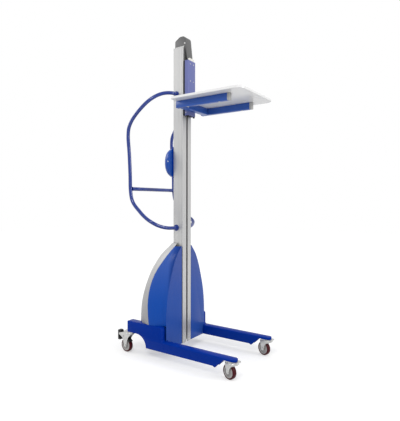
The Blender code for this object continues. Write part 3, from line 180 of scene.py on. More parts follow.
bpy.ops.object.select_all(action="DESELECT")
bpy.ops.mesh.primitive_plane_add(size=24.0, location=(0.0, 0.0, 0.0))
floor = bpy.context.active_object
floor.name = "floor"
floor.data.materials.append(floor_white)

surround = bpy.data.worlds.new("studio")
surround.use_nodes = True
bpy.context.scene.world = surround
surround_tree = surround.node_tree
surround_tree.nodes.clear()
surround_light = 0.62
surround_start = Wire(surround_tree, None)
surround_strength = seen_directly(surround_tree) * (1.0 - surround_light) + surround_light
surround_glow = surround_start.node("ShaderNodeBackground", {},
                                    {"Color": (1.0, 1.0, 1.0), "Strength": surround_strength})
surround_start.node("ShaderNodeOutputWorld", {}, {"Surface": surround_glow})

for lamp_name, lamp_place, lamp_target, lamp_size, lamp_watts in (
        ("key_lamp", (-3.2, -1.2, 3.6), (0.0, 0.0, 0.9), 1.2, 58.0),
        ("fill_lamp", (0.8, -4.2, 2.6), (0.0, 0.0, 0.9), 1.6, 66.0),
        ("rear_lamp", (-1.5, 3.6, 3.2), (0.0, 0.0, 1.0), 1.4, 45.0)):
    bpy.ops.object.light_add(type="AREA", location=lamp_place)
    lamp = bpy.context.active_object
    lamp.name = lamp_name
    lamp.data.energy = lamp_watts
    lamp.data.size = lamp_size
    aim = Vector(lamp_target) - Vector(lamp_place)
    lamp.rotation_euler = aim.to_track_quat("-Z", "Y").to_euler()


# The legs are folded from 3 mm sheet, open below, and powder coated in deep blue.
# The coat has a fine orange peel, drifts a little in tone and is rubbed dull in places.

def new_finish(name, colour, roughness, metallic=0.0, specular=0.5):
    """Principled material and a wire on its Object coordinates."""
    material = bpy.data.materials.new(name)
    material.use_nodes = True
    tree = material.node_tree
    shader = tree.nodes["Principled BSDF"]
    shader.inputs["Base Color"].default_value = (*colour, 1.0)
    shader.inputs["Roughness"].default_value = roughness
    shader.inputs["Metallic"].default_value = metallic
    shader.inputs["Specular IOR Level"].default_value = specular
    place = Wire(tree, None).node("ShaderNodeTexCoord", {}, {}, "Object")
    return material, shader, place


def feed(shader, name, wire):
    """Join a wire to one of the shader's sockets."""
    wire.tree.links.new(wire.socket, shader.inputs[name])


def noise(place, scale, detail=2.0, stretch=(1.0, 1.0, 1.0)):
    """Noise between 0 and 1 on Object coordinates, drawn out along an axis where asked."""
    if stretch != (1.0, 1.0, 1.0):
        place = place.node("ShaderNodeMapping", {}, {"Vector": place, "Scale": stretch})
    return place.node("ShaderNodeTexNoise", {}, {"Vector": place, "Scale": scale, "Detail": detail})


def mix(place, share, first, second):
    """Colour between two colours."""
    return place.node("ShaderNodeMix", {"data_type": "RGBA"}, {0: share, 6: first, 7: second}, 2)


def bump(place, height, strength, distance):
    """Normal from a height."""
    return place.node("ShaderNodeBump", {}, {"Height": height, "Strength": strength, "Distance": distance})


def grain(shader, place, scale, strength, depth=0.0003, detail=2.0):
    """Fine relief all over a surface."""
    feed(shader, "Normal", bump(place, noise(place, scale, detail), strength, depth))


def patches(place, scale, low, high, stretch=(1.0, 1.0, 1.0)):
    """Scattered marks: noise cut off between two levels."""
    stops = ((0.0, 0.0), (low, 0.0), (high, 1.0), (1.0, 1.0))
    return place.node("ShaderNodeValToRGB", {"stops": stops}, {"Fac": noise(place, scale, 6.0, stretch)})


def powder_coat(name, colour, light, specular, roughness=0.24, peel=0.08):
    """Powder coat: orange peel, faint tone drift and small dull rubs."""
    material, shader, place = new_finish(name, colour, roughness, 0.0, specular)
    drift = noise(place, 3.0, 3.0)
    rub = patches(place, 26.0, 0.60, 0.78)
    feed(shader, "Base Color", mix(place, drift * 0.8 + rub * 0.12, colour, light))
    feed(shader, "Roughness", drift * 0.08 + roughness + rub * 0.12)
    grain(shader, place, 420.0, peel, 0.0004)
    return material


def dress(names, material):
    """Give CAD nodes a finished material in place of their plain one."""
    for name in names:
        for holder in nodes[name].material_slots:
            holder.material = material


def body_of(node):
    """Name of the body that a CAD node belongs to."""
    for body, members in frame["record"]["behaviour"]["bodies"].items():
        if node in members:
            return body
    return "frame"


def fresh():
    """Nothing selected, as before adding a primitive."""
    if bpy.context.object and bpy.context.object.mode != "OBJECT":
        bpy.ops.object.mode_set(mode="OBJECT")
    bpy.ops.object.select_all(action="DESELECT")


def pick(piece):
    """Only this piece selected and active."""
    fresh()
    piece.select_set(True)
    bpy.context.view_layer.objects.active = piece


def settle(piece, body, material, replaced=()):
    """Place into the mesh, finish on, and the piece on its body."""
    pick(piece)
    bpy.ops.object.transform_apply(location=True, rotation=True, scale=True)
    piece.data.materials.clear()
    piece.data.materials.append(material)
    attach(piece, body)
    if replaced:
        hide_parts(*replaced)
    return piece


def copy_of(node, name):
    """Free copy of a CAD node with its loose triangles merged."""
    pick(nodes[node])
    bpy.ops.object.duplicate()
    piece = bpy.context.active_object
    piece.name = name
    bpy.ops.object.parent_clear(type="CLEAR_KEEP_TRANSFORM")
    bpy.ops.object.mode_set(mode="EDIT")
    bpy.ops.mesh.select_all(action="SELECT")
    bpy.ops.mesh.remove_doubles(threshold=0.00002)
    bpy.ops.object.mode_set(mode="OBJECT")
    return piece


def soften(piece, width, segments, angle, smooth):
    """Round the sharp edges of a piece and shade its faces between them."""
    pick(piece)
    round_edges = piece.modifiers.new("edges", "BEVEL")
    round_edges.width = width
    round_edges.segments = segments
    round_edges.limit_method = "ANGLE"
    round_edges.angle_limit = math.radians(angle)
    bpy.ops.object.modifier_apply(modifier="edges")
    bpy.ops.object.shade_smooth_by_angle(angle=math.radians(smooth))
    return piece


def eased(node, material, width, segments=2, angle=38.0, smooth=32.0):
    """Copy of a folded or machined node with small round edges that catch the light."""
    piece = copy_of(node, node + "_shell")
    bpy.ops.object.mode_set(mode="EDIT")
    bpy.ops.mesh.select_all(action="SELECT")
    bpy.ops.mesh.dissolve_limited(angle_limit=math.radians(1.0))
    bpy.ops.object.mode_set(mode="OBJECT")
    soften(piece, width, segments, angle, smooth)
    return settle(piece, body_of(node), material, (node,))


blue_coat = powder_coat("blue_powder_coat", (0.0006, 0.0260, 0.2750), (0.0012, 0.0350, 0.3150), 0.04)
for leg_name in ("leg_left", "leg_right"):
    eased(leg_name, blue_coat, 0.0008, 2, 50.0)


# The chassis between the legs: a tray, a tube and a folded rear beam, welded in and coated with the legs.
# Two zinc plated angles bolt the mast's foot to the tray.

def zinc_plate(name, colour, roughness):
    """Bright zinc plate: fine spangle, soft stains and a faint brushed grain."""
    material, shader, place = new_finish(name, colour, roughness, 0.9)
    cells = place.node("ShaderNodeTexVoronoi", {}, {"Vector": place, "Scale": 260.0}, "Color")
    spangle = place.node("ShaderNodeSeparateColor", {}, {"Color": cells})
    stain = noise(place, 38.0, 5.0)
    darker = tuple(channel * 0.66 for channel in colour)
    feed(shader, "Base Color", mix(place, spangle * 0.18 + stain * 0.36, colour, darker))
    feed(shader, "Roughness", stain * 0.20 + (roughness - 0.10) + spangle * 0.06)
    grain(shader, place, 900.0, 0.08, 0.0002)
    return material


zinc = zinc_plate("zinc_plate", (0.60, 0.60, 0.59), 0.30)
dress(("chassis_tray", "front_cross_beam", "rear_cross_beam"), blue_coat)
dress(("mast_bracket_left", "mast_bracket_right", "pulley_bracket", "winding_drum", "strap_clamp"), zinc)


# Each castor has a plated top plate held by four nuts, a pressed fork on a ball race, and a grey wheel core
# with a bonded dark red polyurethane tread. The rear two carry a black brake guard and rocker.

def drawn_profile(name, profile):
    """Closed wire of radius and height points in the XZ plane: one point drawn out along the profile."""
    fresh()
    bpy.ops.mesh.primitive_plane_add(size=0.001, location=(0.0, 0.0, 0.0))
    piece = bpy.context.active_object
    piece.name = name
    bpy.ops.object.mode_set(mode="EDIT")
    bpy.ops.mesh.merge(type="CENTER")
    here = Vector((profile[0][0], 0.0, profile[0][1]))
    bpy.ops.transform.translate(value=here)
    for radius, height in profile[1:]:
        there = Vector((radius, 0.0, height))
        bpy.ops.mesh.extrude_region_move(TRANSFORM_OT_translate={"value": there - here})
        here = there
    bpy.ops.mesh.select_all(action="SELECT")
    return piece


def turned(name, profile, steps, sweep=360.0, smooth=32.0):
    """Shape spun about Z from a profile, all the way round or through part of a turn with its ends closed."""
    piece = drawn_profile(name, profile)
    bpy.ops.mesh.spin(steps=steps, angle=math.radians(sweep), center=(0.0, 0.0, 0.0), axis=(0.0, 0.0, 1.0))
    bpy.ops.mesh.select_all(action="SELECT")
    bpy.ops.mesh.remove_doubles(threshold=0.00001)
    if sweep < 360.0:
        bpy.ops.mesh.fill_holes(sides=0)
        bpy.ops.mesh.select_all(action="SELECT")
    bpy.ops.mesh.normals_make_consistent(inside=False)
    bpy.ops.object.mode_set(mode="OBJECT")
    bpy.ops.object.shade_smooth_by_angle(angle=math.radians(smooth))
    return piece


def plate(name, outline, near, far):
    """Flat shape in the XZ plane, filled and drawn out along Y between two places."""
    piece = drawn_profile(name, outline + [outline[0]])
    bpy.ops.mesh.remove_doubles(threshold=0.00001)
    bpy.ops.mesh.edge_face_add()
    bpy.ops.transform.translate(value=(0.0, near, 0.0))
    bpy.ops.mesh.extrude_region_move(TRANSFORM_OT_translate={"value": (0.0, far - near, 0.0)})
    bpy.ops.mesh.select_all(action="SELECT")
    bpy.ops.mesh.normals_make_consistent(inside=False)
    bpy.ops.object.mode_set(mode="OBJECT")
    return piece


def joined(name, pieces):
    """Several shapes made one mesh, where they are."""
    fresh()
    for piece in pieces:
        piece.select_set(True)
    bpy.context.view_layer.objects.active = pieces[0]
    bpy.ops.object.join()
    pieces[0].name = name
    return pieces[0]


def ring_of(name, profile, steps):
    """Full turn of a profile that comes back to its first point."""
    return turned(name, profile + [profile[0]], steps)


def round_corner(centre, radius, start, end, steps):
    """Profile points round a corner, angles in degrees."""
    angles = [math.radians(start + (end - start) * step / steps) for step in range(steps + 1)]
    return [(centre[0] + radius * math.cos(a), centre[1] + radius * math.sin(a)) for a in angles]


def seat_on(centre, axis):
    """Seat of a piece made about Z: its centre, and Z turned onto an axis."""
    spin = Vector((0.0, 0.0, 1.0)).rotation_difference(Vector(axis)).to_matrix().to_4x4()
    return Matrix.Translation(Vector(centre)) @ spin


def seat_copy(master, name, seat, body, material, replaced=()):
    """Copy of a master shape with its own mesh, on its seat."""
    pick(master)
    bpy.ops.object.duplicate()
    piece = bpy.context.active_object
    piece.name = name
    piece.matrix_world = seat
    return settle(piece, body, material, replaced)


def place_copy(master, name, centre, axis, body, material, replaced=()):
    """Copy of a master shape made about Z, on an axis at its place."""
    return seat_copy(master, name, seat_on(centre, axis), body, material, replaced)


def retire(*masters):
    """Remove master shapes once all their copies are placed."""
    for master in masters:
        bpy.data.objects.remove(master, do_unlink=True)


record_joints = {joint["name"]: joint for joint in frame["record"]["behaviour"]["joints"]}
wheel_radius = 0.045
tyre_half = 0.0138
core_radius = 0.0355
hub_half = 0.0145
sunk = 0.0002
hair_gap = 0.0001

tread_red, tread_shader, tread_place = new_finish("tread_polyurethane", (0.05, 0.002, 0.006), 0.4, 0.0, 0.15)
tread_scuff = noise(tread_place, 60.0, 6.0)
tread_bright = (0.0720, 0.0020, 0.0065)
tread_dull = (0.0240, 0.0030, 0.0050)
feed(tread_shader, "Base Color", mix(tread_place, tread_scuff * 0.6, tread_bright, tread_dull))
feed(tread_shader, "Roughness", tread_scuff * 0.35 + 0.20)
grain(tread_shader, tread_place, 500.0, 0.10)

core_grey, core_shader, core_place = new_finish("wheel_core_grey", (0.33, 0.325, 0.32), 0.45)
core_cloud = noise(core_place, 30.0, 4.0)
feed(core_shader, "Base Color", mix(core_place, core_cloud * 0.5, (0.42, 0.410, 0.40), (0.29, 0.285, 0.28)))
grain(core_shader, core_place, 700.0, 0.12)

black_plastic, black_shader, black_place = new_finish("black_moulding", (0.01, 0.01, 0.011), 0.45, 0.0, 0.25)
black_dust = noise(black_place, 45.0, 5.0)
black_clean = (0.008, 0.008, 0.009)
black_dusty = (0.024, 0.024, 0.025)
feed(black_shader, "Base Color", mix(black_place, black_dust * 0.6, black_clean, black_dusty))
feed(black_shader, "Roughness", black_dust * 0.25 + 0.34)
grain(black_shader, black_place, 650.0, 0.15)

shoulder = 0.0065
tyre_profile = [(core_radius, -tyre_half + 0.0006)]
tyre_profile += round_corner((wheel_radius - shoulder, -tyre_half + shoulder), shoulder, -90.0, -20.0, 6)
tyre_profile += [(wheel_radius, 0.0)]
tyre_profile += round_corner((wheel_radius - shoulder, tyre_half - shoulder), shoulder, 20.0, 90.0, 6)
tyre_profile += [(core_radius, tyre_half - 0.0006)]
tyre_master = ring_of("tyre_master", tyre_profile, 64)

core_profile = [(0.0048, -hub_half), (0.0112, -hub_half), (0.0122, -hub_half + 0.001), (0.0134, -0.0070),
                (0.0150, -0.0058), (0.0262, -0.0050), (0.0282, -0.0062), (0.0296, -0.0122),
                (0.0308, -0.0128), (core_radius, -0.0128)]
core_profile += [(radius, -height) for radius, height in reversed(core_profile)]
core_master = ring_of("core_master", core_profile, 64)

guard_master = ring_of("guard_master", [(0.0048, 0.0), (0.0118, 0.0), (0.0124, 0.0006), (0.0118, 0.0010),
                                        (0.0070, 0.0012), (0.0048, 0.0012)], 40)
race_radius = 0.0324
race_master = ring_of("race_master", [(0.0240, -0.0104), (0.0315, -0.0104), (race_radius, -0.0096),
                                      (race_radius, -0.0062), (0.0317, -0.0052), (race_radius, -0.0042),
                                      (race_radius, -0.0010), (0.0315, -0.0003), (0.0240, -0.0003)], 56)
nut_master = turned("nut_master", [(0.0, 0.0), (0.0036, 0.0), (0.0039, 0.0004), (0.0039, 0.0030),
                                   (0.0035, 0.0036), (0.0022, 0.0036), (0.0021, 0.0050), (0.0015, 0.0055),
                                   (0.0, 0.0055)], 6)
nut_across = 0.0200
nut_along = 0.0340
brake_profile = [(0.0380, -0.0151), (0.0488, -0.0151), (0.0502, -0.0138), (0.0502, 0.0138), (0.0488, 0.0151),
                 (0.0380, 0.0151), (0.0380, 0.0143), (0.0472, 0.0143), (0.0472, -0.0143), (0.0380, -0.0143)]
brake_sweep = 46.0
brake_start = math.radians(82.0)
brake_master = turned("brake_master", brake_profile + [brake_profile[0]], 14, brake_sweep)


def bent_edge(start, pull, end, steps):
    """Points of an edge that leaves a start, is pulled towards a point and reaches its end."""
    shares = [step / steps for step in range(steps + 1)]
    return [tuple((1 - t) ** 2 * a + 2 * t * (1 - t) * b + t ** 2 * c for a, b, c in zip(start, pull, end))
            for t in shares]


trail = 0.030
fork_half = 0.0155
fork_wall = 0.0025
crown_thick = 0.0045
crown_drop = 0.0148
pin_drop = 0.0368
crown_front = -0.0215
crown_rear = 0.0535
cheek_front = -0.0200
eye_radius = 0.0125
axle_radius = 0.0045
rocker_pin = (0.0520, 0.0030)
pan_lap = 0.0006


def fork_master_of(name, seat, trailing_edge, pull_z, pinned):
    """Pressed fork about its swivel axis: crown, two narrowing cheeks, race pan, axle and nuts."""
    crown_low = seat - crown_drop
    crown_high = crown_low + crown_thick
    cheek = [(cheek_front, crown_high)] + trailing_edge
    cheek += round_corner((trail, wheel_radius), eye_radius, 20.0, -200.0, 12)
    cheek += bent_edge(cheek[-1], (0.0140, pull_z), (cheek_front, crown_low - 0.0050), 8)[1:]
    parts = []
    reach = fork_half + fork_wall
    for near, far in ((-reach, -fork_half), (fork_half, reach)):
        parts.append(soften(plate("cheek", cheek, near, far), 0.0006, 2, 50.0, 32.0))
    crown = [(crown_front, crown_low), (crown_rear, crown_low),
             (crown_rear, crown_high), (crown_front, crown_high)]
    parts.append(soften(plate("crown", crown, -reach, reach), 0.0018, 3, 50.0, 40.0))
    pan = turned("pan", [(0.0, 0.0), (0.0275, 0.0), (0.0308, 0.0008), (race_radius, 0.0024),
                         (race_radius, 0.0050), (0.0306, 0.0062), (0.0, 0.0062)], 48)
    pan.matrix_world = seat_on((0.0, 0.0, crown_low - pan_lap), (0.0, 0.0, 1.0))
    parts.append(pan)
    pins = [(trail, wheel_radius, axle_radius)]
    if pinned:
        pins.append((rocker_pin[0], seat - pin_drop, rocker_pin[1]))
    for along, height, radius in pins:
        shank = turned("shank", [(0.0, -reach), (radius, -reach), (radius, reach), (0.0, reach)], 24)
        shank.matrix_world = seat_on((along, 0.0, height), (0.0, 1.0, 0.0))
        parts.append(shank)
        for way in (-1.0, 1.0):
            wide = radius * 1.85
            head = turned("head", [(0.0, 0.0), (wide, 0.0), (wide * 1.04, 0.0005), (wide * 1.04, 0.0030),
                                   (wide * 0.90, 0.0038), (radius, 0.0038), (radius * 0.9, 0.0044),
                                   (0.0, 0.0044)], 6)
            head.matrix_world = seat_on((along, way * (reach - sunk), height), (0.0, way, 0.0))
            parts.append(head)
    return joined(name, parts)


front_seat = record_joints["front_castor_left_swivel_turn"]["pos_m"][2]
rear_seat = record_joints["rear_castor_left_swivel_turn"]["pos_m"][2]
front_edge = [(0.0480, 0.0999), (0.0525, 0.0960), (0.0505, 0.0800), (0.0460, 0.0640)]
rear_edge = [(0.0520, 0.1324), (0.0620, 0.1290), (0.0800, 0.1245), (0.0920, 0.1200), (0.0965, 0.1145),
             (0.0930, 0.1085), (0.0800, 0.1040), (0.0660, 0.0990), (0.0560, 0.0880), (0.0480, 0.0690)]
fork_masters = {"front": fork_master_of("front_fork_master", front_seat, front_edge, 0.0840, False),
                "rear": fork_master_of("rear_fork_master", rear_seat, rear_edge, 0.1000, True)}

for corner in ("front_castor_left", "front_castor_right", "rear_castor_left", "rear_castor_right"):
    axle = record_joints[corner + "_wheel_spin"]
    centre = Vector(axle["pos_m"])
    axis = Vector(axle["axis"])
    wheel_body = corner + "_wheel"
    swivel_body = corner + "_swivel"
    place_copy(tyre_master, corner + "_tyre", centre, axis, wheel_body, tread_red,
               (corner + "_wheel_tread",))
    place_copy(core_master, corner + "_centre", centre, axis, wheel_body, core_grey,
               (corner + "_wheel_core",))
    for side in (-1.0, 1.0):
        hub_end = centre + axis * side * (hub_half - sunk)
        place_copy(guard_master, corner + "_thread_guard", hub_end, axis * side, wheel_body,
                   black_plastic)
    eased(corner + "_top_plate", zinc, 0.0005, 2, 40.0)
    swivel = Vector(record_joints[corner + "_swivel_turn"]["pos_m"])
    place_copy(race_master, corner + "_ball_race", swivel, (0.0, 0.0, 1.0), swivel_body,
               zinc)
    astern = Vector((centre.x - swivel.x, centre.y - swivel.y, 0.0)).normalized()
    upward = Vector((0.0, 0.0, 1.0))
    stand = Matrix((astern, upward.cross(astern), upward)).transposed().to_4x4()
    seat_copy(fork_masters[corner.split("_")[0]], corner + "_pressed_fork",
              Matrix.Translation((swivel.x, swivel.y, 0.0)) @ stand, swivel_body, zinc,
              (corner + "_fork",))
    plate_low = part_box(corner + "_top_plate")[0][2]
    for across in (-nut_across, nut_across):
        for along in (-nut_along, nut_along):
            under = (swivel.x + across, swivel.y + along, plate_low - hair_gap)
            place_copy(nut_master, corner + "_nut", under, (0.0, 0.0, -1.0), "frame",
                       zinc)
    if corner.startswith("rear"):
        eased(corner + "_pedal", black_plastic, 0.0012, 3, 25.0)
        begin = -astern * math.cos(brake_start) + upward * math.sin(brake_start)
        onward = upward * math.cos(brake_start) + astern * math.sin(brake_start)
        lean = Matrix((begin, onward, begin.cross(onward))).transposed().to_4x4()
        seat_copy(brake_master, corner + "_brake_guard", Matrix.Translation(centre) @ lean, swivel_body,
                  black_plastic)

retire(tyre_master, core_master, guard_master, race_master, nut_master, brake_master,
       *fork_masters.values())


# The mast is one aluminium extrusion, natural anodised, with a slot down its front for the carriage's shoes.
# Fine drawing lines run along it, and the cut ends are capped.

mast_metal, mast_shader, mast_place = new_finish("anodised_aluminium", (0.60, 0.60, 0.595), 0.40, 0.75)
draw_lines = noise(mast_place, 900.0, 2.0, (1.0, 1.0, 0.004))
broad_lines = noise(mast_place, 160.0, 2.0, (1.0, 1.0, 0.003))
handling = noise(mast_place, 9.0, 5.0)
mast_tone = broad_lines * 0.5 + handling * 0.3
feed(mast_shader, "Base Color", mix(mast_place, mast_tone, (0.56, 0.56, 0.555), (0.43, 0.43, 0.43)))
feed(mast_shader, "Roughness", draw_lines * 0.14 + 0.32 + handling * 0.06)
feed(mast_shader, "Normal", bump(mast_place, draw_lines, 0.10, 0.0002))
dress(("mast",), mast_metal)

silver, silver_shader, silver_place = new_finish("silver_moulding", (0.56, 0.56, 0.55), 0.42, 0.0, 0.4)
silver_drift = noise(silver_place, 5.0, 3.0)
silver_height = silver_place.node("ShaderNodeSeparateXYZ", {}, {"Vector": silver_place}, "Z")
# Painted shade: the silver is painted darker towards the bottom.
silver_painted_shade = ramp_of(silver_height, 0.20, 0.72, 0.75, 0.0)
silver_tone = noise(silver_place, 1400.0, 1.0) * 0.20 + silver_drift * 0.15 + silver_painted_shade
feed(silver_shader, "Base Color", mix(silver_place, silver_tone, (0.60, 0.60, 0.595), (0.30, 0.30, 0.31)))
feed(silver_shader, "Roughness", silver_drift * 0.12 + 0.34)
grain(silver_shader, silver_place, 520.0, 0.10)
eased("mast_end_cap", silver, 0.0008, 2)

nylon, nylon_shader, nylon_place = new_finish("natural_nylon", (0.74, 0.72, 0.66), 0.45)
nylon_cloud = noise(nylon_place, 50.0, 4.0)
feed(nylon_shader, "Base Color", mix(nylon_place, nylon_cloud * 0.5, (0.78, 0.77, 0.72), (0.62, 0.60, 0.53)))
grain(nylon_shader, nylon_place, 600.0, 0.12)
dress(("strap_pulley_front", "strap_pulley_rear"), nylon)


# The lifting strap is a flat woven polyester band, black, that runs over two pulleys under the hood
# and down the rear chamber to the winding drum. Its front run pays out as the carriage goes down.

webbing, web_shader, web_place = new_finish("strap_webbing", (0.022, 0.022, 0.023), 0.85)
ribs = web_place.node("ShaderNodeTexWave", {"bands_direction": "Z"},
                      {"Vector": web_place, "Scale": 260.0, "Distortion": 0.6})
web_fluff = noise(web_place, 900.0, 3.0)
web_tone = ribs * 0.5 + web_fluff * 0.3
feed(web_shader, "Base Color", mix(web_place, web_tone, (0.015, 0.015, 0.016), (0.050, 0.050, 0.052)))
feed(web_shader, "Normal", bump(web_place, ribs + web_fluff * 0.5, 0.5, 0.0005))
dress(("lift_strap_rear",), webbing)

strap_low, strap_high = (Vector(corner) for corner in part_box("lift_strap_front"))
strap_size = strap_high - strap_low
strap_steps = 40
fresh()
bpy.ops.mesh.primitive_plane_add(size=1.0, location=(0.0, 0.0, 0.0))
strap_run = bpy.context.active_object
strap_run.name = "strap_front_run"
bpy.ops.object.mode_set(mode="EDIT")
bpy.ops.transform.resize(value=(strap_size.x, strap_size.y, 1.0))
strap_middle = (strap_low + strap_high) / 2
bpy.ops.transform.translate(value=(strap_middle.x, strap_middle.y, strap_low.z))
bpy.ops.mesh.bevel(offset=0.0006, segments=3, affect="VERTICES")
for strap_step in range(strap_steps):
    bpy.ops.mesh.extrude_region_move(TRANSFORM_OT_translate={"value": (0.0, 0.0, strap_size.z / strap_steps)})
bpy.ops.mesh.select_all(action="SELECT")
bpy.ops.mesh.normals_make_consistent(inside=False)
bpy.ops.object.mode_set(mode="OBJECT")
bpy.ops.object.shade_smooth_by_angle(angle=math.radians(40.0))
strap_run.data.materials.append(webbing)
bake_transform(strap_run)
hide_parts("lift_strap_front")


# The pulley hood is a dark grey injection moulding, open at the sides before the mast.
# One bright screw on each flank fixes it to the pulley bracket's ears.

grey_light = (0.125, 0.125, 0.126)
grey_dark = (0.085, 0.085, 0.086)
grey_moulding, grey_shader, grey_place = new_finish("dark_grey_moulding", grey_light, 0.50, 0.0, 0.4)
grey_cloud = noise(grey_place, 14.0, 3.0)
feed(grey_shader, "Base Color", mix(grey_place, grey_cloud * 0.6, grey_light, grey_dark))
feed(grey_shader, "Roughness", grey_cloud * 0.12 + 0.36)
grain(grey_shader, grey_place, 560.0, 0.22, 0.0004, 3.0)
eased("pulley_hood", grey_moulding, 0.0010, 3, 25.0, 40.0)

socket_share = 0.42
dome_profile = [(0.0, 0.0), (1.0, 0.0), (1.0, 0.30)]
dome_profile += [(math.cos(math.radians(lift)), 0.30 + 0.70 * math.sin(math.radians(lift)))
                 for lift in (20.0, 40.0, 58.0)]
dome_profile += [(socket_share + 0.04, 1.0), (socket_share, 0.35), (0.0, 0.35)]


def screw_master_of(name, radius, height):
    """Button head with a driving recess, standing on its seat."""
    return turned(name, [(radius * out, height * up) for out, up in dome_profile], 18)


screw_large = screw_master_of("screw_large", 0.0058, 0.0032)
screw_small = screw_master_of("screw_small", 0.0042, 0.0022)


def screws(master, name, seats, axis, body):
    """Zinc plated heads on their seats along one axis."""
    for seat in seats:
        foot = Vector(seat) - Vector(axis) * sunk
        place_copy(master, name, foot, axis, body, zinc)


hood_half = 0.0300
hood_screw_y = 0.0565
hood_screw_z = 2.0860
for flank in (-1.0, 1.0):
    screws(screw_large, "hood_screw", [(flank * hood_half, hood_screw_y, hood_screw_z)], (flank, 0.0, 0.0),
           "frame")


# Behind the mast's foot: the gearmotor, the battery pack and its controller, hidden by the cover.

dress(("gearmotor", "battery_pack", "motor_controller"), grey_moulding)


# The carriage is a folded steel housing, coated in a paler blue, that slides on two plastic shoes.
# Screws hold the shoes, black trims edge it along the mast, partly as painted shade along its rear edges, and
# rubber buffers stand below it.

lilac = powder_coat("carriage_paint", (0.125, 0.145, 0.360), (0.155, 0.175, 0.400), 0.25, 0.30)
eased("carriage_housing", lilac, 0.0008, 2, 40.0)
eased("carriage_top_stop", nylon, 0.0012, 3, 25.0)
dress(("slide_shoe_upper", "slide_shoe_lower"), black_plastic)
carriage_low, carriage_high = (Vector(corner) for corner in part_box("carriage_housing"))
shoe_screw_across = 0.0175
shoe_screw_heights = (1.9430, 1.8295)
screws(screw_small, "carriage_screw",
       [(across, carriage_low.y, height) for across in (-shoe_screw_across, shoe_screw_across)
        for height in shoe_screw_heights], (0.0, -1.0, 0.0), "carriage")
flank_screw_y = 0.0380
flank_screw_z = 1.6200
for flank in (-1.0, 1.0):
    screws(screw_small, "carriage_flank_screw", [(flank * carriage_high.x, flank_screw_y, flank_screw_z)],
           (flank, 0.0, 0.0), "carriage")

# Partly painted shade: black trims over the housing's rear edges darken the strip beside the mast where shade
# falls.
shade_trim_section = [(0.0392, 0.0553), (0.0427, 0.0553), (0.0427, 0.0460), (0.0438, 0.0464), (0.0444, 0.0474),
                (0.0444, 0.0556), (0.0438, 0.0564), (0.0392, 0.0564)]
shade_trim_ease = 0.0010
tipped_upright = Matrix(((1.0, 0.0, 0.0), (0.0, 0.0, 1.0), (0.0, -1.0, 0.0))).to_4x4()
for flank, label in ((-1.0, "left"), (1.0, "right")):
    section = [(flank * out, back) for out, back in shade_trim_section]
    shade_trim = plate("carriage_trim_" + label, section, shade_trim_ease - carriage_high.z, -shade_trim_ease - carriage_low.z)
    shade_trim.matrix_world = tipped_upright
    settle(shade_trim, "carriage", black_plastic)
    bpy.ops.object.shade_smooth_by_angle(angle=math.radians(50.0))

buffer_master = turned("buffer_master", [(0.0, 0.0), (0.0050, 0.0), (0.0066, 0.0012), (0.0070, 0.0040),
                                         (0.0066, 0.0072), (0.0052, 0.0092), (0.0030, 0.0100),
                                         (0.0, 0.0102)], 24)
buffer_across = 0.0330
buffer_y = 0.0255
for across in (-buffer_across, buffer_across):
    under = (across, buffer_y, carriage_low.z - hair_gap)
    place_copy(buffer_master, "carriage_buffer", under, (0.0, 0.0, -1.0), "carriage",
               black_plastic)
retire(buffer_master)


# Two rectangular tubes carry the white platform, with light grey plugs in their front ends.
# Screws from below hold the board, and a cross tube joins the two at the carriage.

bar_coat = powder_coat("bar_powder_coat", (0.0320, 0.1020, 0.4150), (0.0440, 0.1180, 0.4550), 0.22)
eased("cross_tube", bar_coat, 0.0020, 3, 40.0)
plug_grey, plug_shader, plug_place = new_finish("grey_plug", (0.38, 0.38, 0.37), 0.45)
plug_cloud = noise(plug_place, 40.0, 4.0)
feed(plug_shader, "Base Color", mix(plug_place, plug_cloud * 0.5, (0.46, 0.46, 0.45), (0.36, 0.36, 0.35)))
grain(plug_shader, plug_place, 600.0, 0.15)
bar_low, bar_high = (Vector(corner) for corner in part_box("load_bar_right"))
bar_screw_places = (-0.2860, -0.0550)
for side, sign in (("left", -1.0), ("right", 1.0)):
    eased("load_bar_" + side, bar_coat, 0.0006, 2, 40.0)
    eased("bar_plug_" + side, plug_grey, 0.0014, 3, 40.0)
    middle = sign * (bar_low.x + bar_high.x) / 2
    screws(screw_large, "bar_screw", [(middle, along, bar_low.z) for along in bar_screw_places],
           (0.0, 0.0, -1.0), "carriage")

white_board, board_shader, board_place = new_finish("white_platform", (0.80, 0.80, 0.80), 0.22, 0.0, 0.4)
board_cloud = noise(board_place, 6.0, 4.0)
board_scuff = patches(board_place, 34.0, 0.62, 0.80, (1.0, 0.3, 1.0))
board_tone = board_scuff * 0.25 + board_cloud * 0.2
feed(board_shader, "Base Color", mix(board_place, board_tone, (0.82, 0.82, 0.82), (0.68, 0.68, 0.68)))
feed(board_shader, "Roughness", board_cloud * 0.10 + 0.16 + board_scuff * 0.20)
grain(board_shader, board_place, 380.0, 0.05)
dress(("platform",), white_board)


# The push handle: two bent tubes, 25 mm across, with round flanges on the mast's flanks,
# and a straight crossbar welded between them, all powder coated in a glossier blue.

tube_coat = powder_coat("tube_powder_coat", (0.0006, 0.022, 0.210), (0.0014, 0.030, 0.245), 0.60, 0.12, 0.02)


